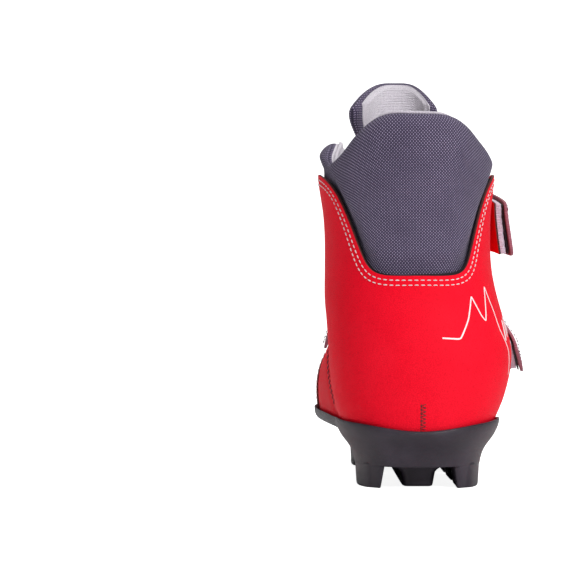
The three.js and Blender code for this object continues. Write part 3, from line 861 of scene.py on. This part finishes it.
def heel_line(corners, step=0.5):
    """A smooth-cornered line through (turn, z) corners on the heel."""
    corners = np.array(corners, float)
    steps = np.hypot(np.diff(corners[:, 0]) * 0.75, np.diff(corners[:, 1]))
    lengths = walked(steps)
    at = np.linspace(0, lengths[-1], int(lengths[-1] / step))
    turn = np.interp(at, lengths, corners[:, 0])
    z = np.interp(at, lengths, corners[:, 1])
    blur = np.array([1, 2, 3, 2, 1]) / 9
    turn[2:-2] = np.convolve(turn, blur, "valid")
    z[2:-2] = np.convolve(z, blur, "valid")
    return heel_point(turn, z)


RIDGE = [(9, 69.5), (17, 69), (22, 78), (26, 88.5), (30.5, 79.5), (33, 77), (39, 93), (43, 82), (44.5, 73),
         (51, 63), (53, 52)]
SLASHES = [[(49.5 + 5 * k, 68 + 1.5 * k), (53 + 5 * k, 77 + 1.5 * k)] for k in range(4)]


strips = [ribbon(heel_line(RIDGE), 0.75)] + [ribbon(heel_line(line), 1.6) for line in SLASHES]
ridge = join_parts("printed_ridge_line", strips, smooth=False)
dress(ridge, "boot", "red_leather", PRINT_WHITE)
print("the ridge print spans", [round(v / MM) for v in ridge.dimensions], "mm")

# %% [markdown]
# ## The padded collar and the tongue
# Both are foam between a mesh textile and a plush lining. Foam has no flat faces: it is fullest in
# the middle, rolls over at its free edge and is nipped where it is sewn. So each pad starts as a
# closed form with rounded borders, and a short cloth simulation with pressure inside then swells
# it against its pinned seams. The swelling is capped, so it can't reach its neighbours.

# %% Pads with rounded borders
def spread(count, crowd):
    """Steps from 0 to 1 that crowd towards both ends."""
    t = np.linspace(0, 1, count + 1)
    return mix(t, (1 - np.cos(np.pi * t)) / 2, crowd)


def pad_form(name, place, face, back, across, along, borders):
    """A closed pad from place(u, v, depth); face and back give the depths of its two sides.

    borders holds four widths in mm over which the pad rounds off: at u 0, u 1, v 0 and v 1.
    """
    u, v = np.meshgrid(spread(across, 0.85), spread(along, 0.85), indexing="ij")
    middle = place(u, v, (face(u, v) + back(u, v)) / 2)
    du = np.linalg.norm(np.diff(middle, axis=0), axis=-1)
    dv = np.linalg.norm(np.diff(middle, axis=1), axis=-1)
    walk_u = np.concatenate([np.zeros((1, along + 1)), np.cumsum(du, axis=0)])
    walk_v = np.concatenate([np.zeros((across + 1, 1)), np.cumsum(dv, axis=1)], axis=1)
    full = np.ones_like(u)
    for walk, width in ((walk_u, borders[0]), (walk_u[-1:] - walk_u, borders[1]),
                        (walk_v, borders[2]), (walk_v[:, -1:] - walk_v, borders[3])):
        full = full * quarter_circle(walk / width)
    thick = (back(u, v) - face(u, v)) / 2 * full
    centre = (face(u, v) + back(u, v)) / 2
    outer = place(u, v, centre - thick)
    inner = place(u, v, centre + thick)
    count = u.size
    keep = np.setdiff1d(np.arange(count), border(across, along))
    inner_index = np.arange(count)
    inner_index[keep] = count + np.arange(len(keep))
    points = np.concatenate([outer.reshape(-1, 3), inner.reshape(-1, 3)[keep]])
    faces_out = grid_faces(across, along)
    faces_in = inner_index[grid_faces(across, along, flip=True)]
    slots = np.concatenate([np.zeros(len(faces_out), int), np.ones(len(faces_in), int)])
    lengths = cloth_lengths(middle)
    piece = finish_mesh(name, points, np.concatenate([faces_out, faces_in]).tolist(), slots=slots,
                        uv=np.concatenate([lengths, lengths[keep]]))
    return piece


LAST_STEP = 20


def inflate(piece, pinned, limit):
    """Swells a closed pad with a short cloth simulation; pinned(points) tells which are sewn."""
    rest = np.empty(len(piece.data.vertices) * 3)
    piece.data.vertices.foreach_get("co", rest)
    rest = rest.reshape(-1, 3)
    seam = piece.vertex_groups.new(name="seam")
    hold = pinned(rest / MM - SHIFT)
    for weight, chosen in ((0.5, (hold > 0.25) & (hold <= 0.75)), (1.0, hold > 0.75)):
        seam.add(np.nonzero(chosen)[0].tolist(), weight, "REPLACE")
    cloth = piece.modifiers.new("swell", "CLOTH")
    cloth.settings.vertex_group_mass = "seam"
    settings = {"quality": 6, "mass": 0.2, "tension_stiffness": 18, "compression_stiffness": 18,
                "shear_stiffness": 8, "bending_stiffness": 0.4, "use_pressure": True,
                "uniform_pressure_force": 4.0}
    for key, value in settings.items():
        setattr(cloth.settings, key, value)
    cloth.settings.effector_weights.gravity = 0
    cloth.collision_settings.use_collision = False
    cloth.collision_settings.use_self_collision = False
    cloth.point_cache.frame_start = 1
    cloth.point_cache.frame_end = LAST_STEP
    scene = bpy.context.scene
    for step in range(1, LAST_STEP + 1):
        scene.frame_set(step)
    shown = piece.evaluated_get(bpy.context.evaluated_depsgraph_get())
    swollen = np.empty(rest.size)
    shown.data.vertices.foreach_get("co", swollen)
    moved = np.nan_to_num(swollen.reshape(-1, 3) - rest)
    scene.frame_set(1)
    piece.modifiers.remove(cloth)
    far = np.linalg.norm(moved, axis=1, keepdims=True)
    cap = limit * MM
    moved = moved * cap * np.tanh(far / cap) / np.maximum(far, 1e-9)
    moved = moved * (1 - np.clip(hold, 0, 1))[:, None]
    edges = np.array([tuple(edge.vertices) for edge in piece.data.edges])
    for _ in range(2):
        total = moved.copy()
        count = np.ones((len(moved), 1))
        for a, b in ((0, 1), (1, 0)):
            np.add.at(total, edges[:, a], moved[edges[:, b]])
            np.add.at(count, edges[:, a], 1)
        moved = total / count
    piece.data.vertices.foreach_set("co", (rest + moved).ravel())
    piece.data.update()
    most = float(np.linalg.norm(moved, axis=1).max() / MM)
    print(piece.name, "swelled by", round(most, 2), "mm at most")


def subdivide_once(piece):
    smooth = piece.modifiers.new("smooth cloth", "SUBSURF")
    smooth.levels = 1
    smooth.render_levels = 1


# %% The collar
COLLAR_LOW = 84.0
COLLAR_REACH = 141.0
COLLAR_DEPTH = LEATHER + 1.6


def collar_surface(u, v):
    return wrap_place(u, v, COLLAR_LOW, collar_top, 0, COLLAR_REACH)


def inner_lean(turn, z):
    """The collar's inner peak leans in towards the leg."""
    beside = smoothstep(-turn, 66, 90) * (1 - smoothstep(-turn, 116, 132))
    return 1.9 * smoothstep(z, 150, 163) * beside


def collar_place(u, v, depth):
    turn, z = collar_surface(u, v)
    ripple = 0.22 * np.sin(turn / 9.0 + z / 13.0) + 0.16 * np.sin(turn / 4.6 - z / 8.0)
    return heel_point(turn, z, depth + ripple * smoothstep(z, 112, 130) + inner_lean(turn, z))


def collar_face(u, v):
    turn, z = collar_surface(u, v)
    return COLLAR_DEPTH - 4.2 * smoothstep(z - quarter_top(np.abs(turn)), 2, 10)


collar = pad_form("padded_collar", collar_place, collar_face, lambda u, v: 10.6 + 0 * u, 170, 46,
                  (5, 5, 3, 6.5))


def collar_seams(p):
    turn = turn_of(p)
    above = p[:, 2] - quarter_top(turn)
    return np.clip(1 - smoothstep(above, 2.0, 8.0), 0, 1)


inflate(collar, collar_seams, limit=0.9)
subdivide_once(collar)
dress(collar, "boot", "collar_textile", COLLAR_TEXTILE, PLUSH, replaces=["collar_pad"])


# %% The heel lining inside the collar
def heel_lining_place(u, v, w):
    turn, z = wrap_place(u, v, 34.35, lambda turn: collar_top(turn) + 0.9, 0, COLLAR_REACH - 1)
    seat = mix(4.1, 10.3, smoothstep(z, 62, 78))
    top = collar_top(turn) - z
    roll_over = 4.2 * (1 - smoothstep(top, -0.9, 7.0))
    ribs = 0.1 * np.sin(2 * np.pi * z / 1.3)
    depth = seat - roll_over + 1.6 * (1 - w) + ribs * (1 - w)
    return heel_point(turn, z, depth + inner_lean(turn, z))


heel_lining = panel("heel_plush_lining", heel_lining_place, 120, 420, edge=0)
dress(heel_lining, "boot", "plush_lining", PLUSH, PLUSH, replaces=["heel_lining"])


def forefoot_lining_place(u, v, w):
    roll = mix(-84, 84, u)
    start = vamp_back(roll) + 3 + 17 * np.maximum(np.cos(np.radians(roll)), 0) ** 3
    return foot_point(mix(start, 90, v), roll, 4.45 + 1.5 * (1 - w))


vamp_lining = panel("forefoot_plush_lining", forefoot_lining_place, 60, 50, edge=0.3)
dress(vamp_lining, "boot", "plush_lining", PLUSH, PLUSH, replaces=["vamp_lining"])

# %% The tongue
TONGUE_FOOT = 79.0
TONGUE_TIP = 193.0
TONGUE_DROP = 13
TONGUE_WRAP = 9.5
tongue_half = through((80, 24), (110, 23.5), (150, 23), (195, 22.5))
TONGUE_FACE = LEATHER + 0.7
TONGUE_BACK = TONGUE_FACE + 6.2


def tongue_place(u, v, depth):
    s = 2 * u - 1
    z = mix(TONGUE_FOOT, TONGUE_TIP - TONGUE_DROP * np.abs(s) ** 3, v)
    soft = 0.25 * np.sin(z / 11.0 + 3 * s) + 0.2 * np.sin(z / 6.3 - 5 * s)
    lean = 2.2 * smoothstep(z, 160, 178)
    half = tongue_half(z) * np.where(s < 0, 1 + 0.19 * smoothstep(z, 161, 175), 1)
    p = front_point(leg_shift(z) - lean + s * half, z, depth + soft * smoothstep(z, 120, 150))
    p[..., 1] -= TONGUE_WRAP * np.abs(s) ** 2.2 * smoothstep(z, 157, 182)
    return p


tongue = pad_form("padded_tongue", tongue_place, lambda u, v: TONGUE_FACE + 0 * u,
                  lambda u, v: TONGUE_BACK + 0 * u, 60, 90, (4.0, 4.0, 4, 4.5))


def tongue_seams(p):
    edge = np.abs(p[:, 0] - leg_shift(p[:, 2])) / tongue_half(p[:, 2])
    return np.clip(1 - smoothstep(p[:, 2], 118, 140) * smoothstep(-edge, -0.995, -0.93), 0, 1)


inflate(tongue, tongue_seams, limit=0.7)
subdivide_once(tongue)
dress(tongue, "tongue_flap", "collar_textile", COLLAR_TEXTILE, COLLAR_TEXTILE, replaces=["tongue"])


def tongue_lining_place(u, v, w):
    around = mix(0.055, 0.965, u)
    up = mix(0.02, 0.982, v)
    s = 2 * around - 1
    z = mix(TONGUE_FOOT, TONGUE_TIP - TONGUE_DROP * np.abs(s) ** 3, up)
    from_side = np.minimum(u, 1 - u) * 41
    from_tip = (1 - v) * 105
    tuck = 1.5 * (1 - smoothstep(np.minimum(from_side, from_tip), 0, 3.2))
    ribs = 0.14 * np.sin(2 * np.pi * z / 1.25)
    face = TONGUE_BACK + 0.8 - tuck
    return tongue_place(around, up, face + (1.3 + ribs) * (1 - w) - 0.4)


tongue_lining = panel("tongue_plush_lining", tongue_lining_place, 56, 460, edge=0)
dress(tongue_lining, "tongue_flap", "plush_lining", PLUSH, PLUSH, replaces=["tongue_lining"])

# %% [markdown]
# ## The straps
# Two textile bands are sewn to the inner side, cross over the leg and the instep, and close on
# the outer side. Each free end is a stack: a leather flap whose backing is black, partly a real
# layer and partly painted shadow under the pile, is sewn to the boot; loop pile stands on it, and
# the band lies on top with a black hook tape under its end. The free end springs away from the
# boot, so the layers show from behind.

# %% Points on a strap
def strap_plane(start_point, tilt, half, start, end, splay):
    a = math.radians(tilt)
    return {"from": np.array(start_point, float), "ahead": np.array([0, math.cos(a), math.sin(a)]),
            "across": np.array([0, -math.sin(a), math.cos(a)]), "half": half, "start": start, "end": end,
            "splay": splay}


STRAPS = {"upper": strap_plane((-3.5, -38, 120.5), 12, 14, -58, 92, lambda v: 3.6 - 2.2 * v),
          "lower": strap_plane((0.5, 8.5, 49), 56, 13, -60, 79, lambda v: 9 - v)}
STRAP_RADIUS = 46


def strap_point(strap, u, v, lift):
    """u runs along the strap from its sewn root, v from -1 to 1 across it."""
    u, v, lift = matched(u, v, lift)
    a = np.radians(mix(strap["start"], strap["end"], u))[..., None]
    start = strap["from"] + v[..., None] * strap["half"] * strap["across"]
    way = strap["ahead"] * np.cos(a) + np.array([1.0, 0, 0]) * np.sin(a)
    rise = smoothstep(u, 0.74, 1) ** 1.4 * strap["splay"](v)
    return cast(start, way, -(lift + rise))


GAP = 0.35
PAD_FROM = 0.66
PILE = 3.6
TAPE = 0.8
BAND = 2.0
BAND_SHOWN = 1.4
TAPE_LIFT = PILE + 2 * GAP
BAND_HIGH = TAPE_LIFT + TAPE + GAP


def band_lift(u):
    """A band lies on the boot at its root and on the stack of pads at its free end."""
    return mix(0.9, BAND_HIGH, smoothstep(u, 0.44, PAD_FROM - 0.02))


def rounded_end(u, v, strap, corner=4.0):
    """Pulls the corners of a band's free end in, so that it is cut with rounded corners."""
    length = math.radians(strap["end"] - strap["start"]) * STRAP_RADIUS
    reach = strap["half"] - corner * (1 - quarter_circle((1 - u) * length / corner))
    return v * reach / strap["half"]


def band_place(strap):
    def place(u, v, w):
        across = rounded_end(u, 2 * v - 1, strap)
        crown = 0.25 * (1 - np.abs(across) ** 4) * w
        wave = 0.25 * np.sin(9 * u + 2 * across) * smoothstep(u, 0.05, 0.2)
        return strap_point(strap, u, across, band_lift(u) + wave + BAND_SHOWN * w + crown)
    return place


def tape_place(strap):
    def place(u, v, w):
        along = mix(PAD_FROM + 0.02, 0.985, u)
        return strap_point(strap, along, (2 * v - 1) * 0.9, TAPE_LIFT + TAPE * w)
    return place


for side, strap in STRAPS.items():
    band = panel(side + "_strap_band", band_place(strap), 120, 24, edge=0.6)
    dress(band, side + "_band", "strap_band", BAND_TEXTILE, BAND_TEXTILE, replaces=[side + "_strap"])
    tape = panel(side + "_hook_tape", tape_place(strap), 60, 16, edge=0.25)
    dress(tape, side + "_band", "hook_tape", HOOK_TAPE, HOOK_TAPE, replaces=[side + "_strap_hook"])


# %% The loop pads sewn to the boot
def layer(strap, low, high, first, last, width, roughness=0.0, seed=0):
    """One layer of the pad, from lift low to lift high; its free end can be lumpy like pile."""
    phases = np.random.default_rng(seed).uniform(0, 6.28, 6)

    def place(u, v, w):
        lump = sum(np.sin((5 + 4 * k) * 6.28 * u + (3 + 2 * k) * 6.28 * v + phases[k]) for k in range(5)) / 5
        lift = mix(low, high + roughness * lump, w)
        return strap_point(strap, mix(first, last, u), (2 * v - 1) * width, lift)
    return place


for side, strap in STRAPS.items():
    flap = panel(side + "_flap", layer(strap, 0.3, 0.8, PAD_FROM - 0.01, 0.982, 0.92), 60, 16, edge=0.3)
    dress(flap, "boot", "red_leather", RED_LEATHER, CUT_EDGE)
    # The black layer under the pile: a backing that also paints the shadow line between pile and flap.
    under = layer(strap, 0.85, 1.25, PAD_FROM, 0.979, 0.915)
    backing = panel(side + "_flap_backing_and_shadow", under, 60, 16, edge=0.1)
    dress(backing, "boot", "loop_pile", BLACK_BACKING_AND_SHADOW, BLACK_BACKING_AND_SHADOW)
    loops = layer(strap, 1.3, PILE + 0.4, PAD_FROM, 0.978, 0.9, 0.3, 7)
    pile = panel(side + "_loop_pile", loops, 120, 40, edge=0.5)
    dress(pile, "boot", "loop_pile", LOOP_PILE, LOOP_PILE, replaces=[side + "_loop_pad"])
print("straps and pads:", 5 * len(STRAPS), "pieces")


# %% Stitches that hold the straps
def band_face(u):
    return band_lift(u) + BAND + 0.3


def strap_stitches(side, strap):
    """Rows along both edges and cross rows, sunk in the face of the band."""
    length = math.radians(strap["end"] - strap["start"]) * STRAP_RADIUS
    first, last, inset = 0.01, 0.965, 0.84
    u = np.linspace(first, last, int((last - first) * length))
    lines = [strap_point(strap, u, edge + 0 * u, band_face(u)) for edge in (-inset, inset)]
    v = np.linspace(-inset, inset, 24)
    for u_at in (0.012, 0.1, 0.67, 0.955):
        lines.append(strap_point(strap, u_at + 0 * v, v, band_face(u_at + 0 * v)))
    piece = stitch_rows(side + "_strap_stitches", lines, DARK_THREAD, 0.24, 0.12, 0.0)
    dress(piece, side + "_band", "strap_band")


for side, strap in STRAPS.items():
    strap_stitches(side, strap)

# %% [markdown]
# ## The outsole
# The outsole is one rubber moulding: a cup whose thin lip climbs the upper, a flat underside, a rib
# down the middle and tread blocks along both sides, with two straight grooves between them that run
# on the ski's guide. It is turned here like a pot: one profile, swept round the footprint, with the
# lip's height given by the bearing. The blocks are separate rounded forms set into it.

# %% The cup
WALK_BACK = -66.0
WALK_FRONT = 58.0
rim_top = through((0, 31.5), (0.07, 30), (0.125, 27), (0.18, 30), (0.25, 31.5), (0.36, 27), (0.46, 29),
                  (0.56, 31), (0.625, 34), (0.69, 31), (0.79, 29), (0.89, 27), (1, 31.5))
SOLE_UNDER = 10.0
RIM_TOP = 30.0


def footprint(t, z, depth):
    """A walk round the foot: t 0 on the inner side of the heel, 0.25 on the outer, 0.625 at the toe."""
    t, z, depth = matched(t, z, depth)
    s = np.mod(t, 1)
    y = np.interp(s, [0, 0.25, 0.5, 0.75, 1], [WALK_BACK, WALK_BACK, WALK_FRONT, WALK_FRONT, WALK_BACK])
    a = np.radians(np.interp(s, [0, 0.25, 0.5, 0.75, 1], [-90, 90, 90, 270, 270]))
    p = cast(stack(foot_shift(y), y, z), stack(np.sin(a), -np.cos(a), 0 * a), depth)
    p[..., 2] = z
    return p


CUP_PROFILE = [(12.0, 10.0), (4.9, 10.0), (4.55, 10.15), (4.35, 11.4), (3.9, 13.2), (3.3, 15.2), (2.3, 17.3),
               (0.9, 19.3), (-0.8, 21.2), (-2.2, 23.0), (-2.95, 24.6), (-3.15, 26.2), (-3.0, 27.6),
               (-2.65, 28.9), (-2.25, 29.75), (-1.75, 30.1), (-1.2, 29.95), (-0.85, 29.3), (-0.75, 27.5),
               (-0.7, 25.5), (-0.7, 24.2), (0.6, 24.0)]


# Under the forefoot the cup's sides slope in further, so the tread is as narrow as at the heel.
UNDERCUT = 11.3
undercut_at = through((10, UNDERCUT), (15, 10.6), (19, 8.4), (22, 4.6), (24, 1.8), (27, 1.2),
                      (29.8, 0.6), (30.2, 0), (40, 0))


def forefoot(t):
    outer = smoothstep(t, 0.3, 0.41) * (1 - smoothstep(t, 0.54, 0.6))
    return outer + smoothstep(t, 0.65, 0.71) * (1 - smoothstep(t, 0.86, 0.94))


def cup():
    sides = 240
    t = np.arange(sides) / sides
    rings = []
    for depth, z in CUP_PROFILE:
        inside = depth > -1.3 and z > 23
        up = max(z - SOLE_TOP, 0) / (RIM_TOP - SOLE_TOP)
        height = z + 0 * t if z <= SOLE_TOP else mix(SOLE_TOP, rim_top(t), up)
        undercut = 0 * t if inside else undercut_at(z) * forefoot(t)
        p = footprint(t, np.maximum(height, SOLE_TOP), depth + undercut)
        p[:, 2] = height
        rings.append(p)
    for z, ring in ((SOLE_UNDER, rings[0]), (SOLE_TOP, rings[-1])):
        middle = stack(foot_shift(ring[:, 1]), ring[:, 1] * 0.94, z + 0 * t)
        closed = ring + (middle - ring) * 0.6
        closed[:, 2] = z
        if z == SOLE_UNDER:
            rings.insert(0, closed)
        else:
            rings.append(closed)
    return finish_mesh("outsole_cup", np.concatenate(rings), tube_faces(len(rings), sides))


outsole = cup()
subdivide_once(outsole)
dress(outsole, "boot", "sole_rubber", SOLE_RUBBER, replaces=["sole_cup"])

# %% Tread blocks and the centre rib
LUG_IN = 17.6
LUGS = {"heel": (-97, -58), "arch": (-48, -4), "ball": (4, 48), "toe": (56, 93)}


def rounded_block(name, place, steps, corner):
    """A block from place(u, v, w) with rounded vertical corners and edges."""
    across, along, high = steps
    u, v = np.meshgrid(spread(across, 0.7), spread(along, 0.7), indexing="ij")
    layers = []
    levels = np.concatenate([np.linspace(0, 0.12, 5), np.linspace(0.2, 1, high)])
    for w in levels:
        du = 2 * u - 1
        dv = 2 * v - 1
        square = np.maximum(np.abs(du), np.abs(dv))
        radius = (np.abs(du) ** corner + np.abs(dv) ** corner) ** (1 / corner)
        shrink = np.where(square > 0, square / np.maximum(radius, 1e-9), 1)
        tuck = 1 - 0.05 * (1 - quarter_circle(w / 0.12))
        layers.append(place((du * shrink * tuck + 1) / 2, (dv * shrink * tuck + 1) / 2, w + 0 * u))
    layers = [points.reshape(-1, 3) for points in layers]
    ring = border(across, along)
    count, around = len(layers[0]), len(ring)
    points = [layers[0], layers[-1]] + [points[ring] for points in layers[1:-1]]
    firsts = 2 * count + around * np.arange(len(layers) - 2)
    rings = [ring] + [np.arange(first, first + around) for first in firsts] + [ring + count]
    faces = [grid_faces(across, along, 0, True), grid_faces(across, along, count)]
    for low, above in zip(rings[:-1], rings[1:]):
        faces.append(np.stack([low, np.roll(low, -1), np.roll(above, -1), above], axis=1))
    return finish_mesh(name, np.concatenate(points), np.concatenate(faces).tolist())


def edge_on(sign, y):
    return np.abs(foot_point(np.clip(y, -92, 92), sign * 90.0 + 0 * y)[..., 0])


def heel_back(x):
    """How far back the heel's underside reaches at a distance x to the side."""
    outline = footprint(np.linspace(0.0, 0.25, 80), SOLE_TOP, 4.62)
    return np.interp(x, outline[:, 0], outline[:, 1])


def lug_place(sign, first, last):
    def place(u, v, w):
        inner = LUG_IN - 2 * w
        widest = np.maximum(edge_on(sign, mix(first, last, u)) - 4.7, LUG_IN + 5)
        start = np.maximum(first, heel_back(sign * mix(inner, widest, v)))
        y = mix(start, last, u) - (u - 0.5) * 3 * (1 - w)
        inset = mix(5.3, 4.6, w) + UNDERCUT * smoothstep(y, -45, 10)
        outer = np.maximum(edge_on(sign, y) - inset, LUG_IN + 5)
        dimple = 0.5 * np.exp(-((v - 0.55) ** 2 * 30 + (u - 0.18) ** 2 * 500)) * (1 - w)
        return stack(sign * mix(inner, outer, v), y, w * (SOLE_UNDER + 1.4) + dimple)
    return place


for spot, (y0, y1) in LUGS.items():
    for title, sign in (("outer", 1), ("inner", -1)):
        lug = rounded_block(f"{spot}_tread_block_{title}", lug_place(sign, y0, y1), (40, 20, 8), 14)
        dress(lug, "boot", "sole_rubber", SOLE_RUBBER, replaces=[f"{spot}_lug_{title}"])


def rib_place(u, v, w):
    half = mix(7.2, 9.2, w) + 3.6 * smoothstep(w, 0.6, 1.0) ** 1.5
    return stack(mix(-half, half, v), mix(-87, 92, u), w * (SOLE_UNDER + 0.2))


rib = rounded_block("centre_tread_rib", rib_place, (120, 16, 8), 12)
dress(rib, "boot", "sole_rubber", SOLE_RUBBER, replaces=["centre_rib"])

# %% The toe ears and the steel bar
EAR = 8.0


def ear_place(x):
    def place(u, v, w):
        lean = 0.7 * (1 - w)
        y = 104 + (v - 0.5) * (15 - 2 * lean)
        return stack(x + (u - 0.5) * (EAR - lean), y, 1.0 + w * (SOLE_UNDER - 0.8))
    return place


for title, sign in (("outer", 1), ("inner", -1)):
    place = ear_place(float(foot_shift(105)) + sign * 16)
    ear = rounded_block("toe_ear_rubber_" + title, place, (12, 16, 8), 5)
    dress(ear, "boot", "sole_rubber", SOLE_RUBBER, replaces=["toe_ear_" + title])


def turned_bar():
    """A bar with eased ends and a shallow waist where the binding's jaw closes."""
    stations = [(-18.5, 1.2), (-18.35, 1.6), (-18.0, 1.9), (-17.4, 2.0), (-9.5, 2.0), (-9.0, 1.86),
                (-8.5, 1.82)]
    stations += [(x, 1.82) for x in (-5, 0, 5)] + [(-x, r) for x, r in reversed(stations)]
    sides = 48
    angle = np.linspace(0, 2 * np.pi, sides, endpoint=False)
    points = np.concatenate([stack(BAR_IN_LAST[0] + x + 0 * angle, BAR_IN_LAST[1] + r * np.cos(angle),
                                   BAR_IN_LAST[2] + r * np.sin(angle)) for x, r in stations])
    return finish_mesh("steel_toe_bar", points, tube_faces(len(stations), sides))


toe_bar = turned_bar()
dress(toe_bar, "boot", "bar_steel", BAR_STEEL, replaces=["toe_bar"])


# %% The footbed and the hidden parts
def footbed_place(u, v, w):
    s = mix(-1, 1, u)
    y = mix(-88, 88, v)
    half = np.minimum(edge_on(1, y), edge_on(-1, y)) * 0.8
    end = np.sqrt(np.maximum(1 - (np.abs(2 * v - 1)) ** 6, 0.0004))
    return stack(foot_shift(y) + s * half * end, y, 31.2 + 1.6 * w + 0.25 * np.sin(y / 14) * w)


footbed = panel("shaped_footbed", footbed_place, 40, 110, edge=0.4)
dress(footbed, "boot", "footbed_foam", FOOTBED, FOOTBED, replaces=["footbed"])

HIDDEN = {"insole_board": INSOLE_BOARD, "shank": BAR_STEEL, "heel_counter": STIFFENER,
          "toe_puff": STIFFENER}
for node, material in HIDDEN.items():
    held = bpy.data.objects.get(node)
    if held is not None:
        held.data.materials.clear()
        held.data.materials.append(material)
bar_size = [round(v / MM, 1) for v in toe_bar.dimensions]
print("treads:", len(LUGS) * 2 + 1, "blocks and a bar", bar_size)

# %% [markdown]
# ## Floor, light and camera
# The boot stands on a pale floor under soft lights from above and both sides. The camera is level
# with the middle of the boot and behind it, a little to the inner side, through a long lens.

# %% Floor
def sweep():
    """A floor that curves up a long way behind the boot, as a sheet of studio paper does."""
    profile = [(-4.0, 0.0), (1.2, 0.0)]
    for a in np.linspace(0.1, math.pi / 2, 16):
        profile.append((1.2 + 0.9 * math.sin(a), 0.9 * (1 - math.cos(a))))
    profile += [(2.1, 3.5)]
    points = [(x, y, z) for y, z in profile for x in (-4.0, 4.0)]
    faces = [(2 * i, 2 * i + 1, 2 * i + 3, 2 * i + 2) for i in range(len(profile) - 1)]
    mesh = bpy.data.meshes.new("paper sweep")
    mesh.from_pydata(points, [], faces)
    mesh.polygons.foreach_set("use_smooth", [True] * len(faces))
    piece = bpy.data.objects.new("paper sweep", mesh)
    bpy.context.scene.collection.objects.link(piece)
    material, tree, bsdf = new_material("white paper", (0.95, 0.95, 0.95), 0.8, Specular_IOR_Level=0.1)
    place = tree.add("ShaderNodeNewGeometry").outputs["Position"]
    paper = tree.noise(place, 120.0, 3.0)
    glow = tree.add("ShaderNodeLightPath").outputs["Is Camera Ray"]
    feed(tree, bsdf, Base_Color=tree.colour(paper, (0.94, 0.94, 0.94), (0.97, 0.97, 0.97)),
         Emission_Strength=tree.math("MULTIPLY", glow, 0.9))
    bsdf.inputs["Emission Color"].default_value = (1, 1, 1, 1)
    mesh.materials.append(material)
    piece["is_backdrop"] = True


sweep()


# %% Lights
MIDDLE = Vector((0.0, 0.0, 0.09))


def soft_light(name, where, size, power):
    light = bpy.data.lights.new(name, "AREA")
    light.shape = "RECTANGLE"
    light.size, light.size_y = size
    light.energy = power
    lamp = bpy.data.objects.new(name, light)
    bpy.context.scene.collection.objects.link(lamp)
    lamp.location = where
    lamp.rotation_euler = (MIDDLE - Vector(where)).to_track_quat("-Z", "Y").to_euler()
    lamp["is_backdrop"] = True


soft_light("key from behind right", (0.7, -1.2, 0.8), (0.6, 0.5), 14.5)
soft_light("fill from behind left", (-0.9, -0.9, 0.5), (0.7, 0.7), 0.9)
soft_light("top", (0.0, 0.0, 1.3), (0.8, 0.8), 6)
soft_light("front", (0.3, 1.2, 0.7), (0.9, 0.6), 3)


def studio_world(seen, shed):
    """A white surround: bright where the camera sees it, and gentler as a light."""
    world = bpy.data.worlds.new("studio")
    world.use_nodes = True
    world.node_tree.nodes.clear()
    tree = Tree(world.node_tree)
    ray = tree.add("ShaderNodeLightPath").outputs["Is Camera Ray"]
    strength = tree.math("MULTIPLY_ADD", ray, seen - shed, shed)
    sky = tree.add("ShaderNodeBackground", {"Color": (1, 1, 1, 1), "Strength": strength})
    out = tree.add("ShaderNodeOutputWorld")
    tree.tree.links.new(sky.outputs[0], out.inputs[0])
    bpy.context.scene.world = world


studio_world(1.05, 0.3)

# %% Camera
bpy.context.scene.view_settings.view_transform = "Standard"
CAMERA_AT = (-62.2, -1312.0, 94.1)
lens = bpy.data.cameras.new("studio camera")
camera = bpy.data.objects.new("studio camera", lens)
bpy.context.scene.collection.objects.link(camera)
bpy.context.scene.camera = camera
camera.location = to_scene(CAMERA_AT)
camera.rotation_euler = (math.radians(90), 0, 0)
lens.lens_unit = "FOV"
lens.angle = 2 * math.atan(129.0 / 1200)
lens.clip_start = 0.01

# %% Sizes, then finish
FINAL_BOX = [list(corner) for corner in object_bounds()]
print("final box in mm:", [[round(c / MM, 1) for c in corner] for corner in FINAL_BOX])
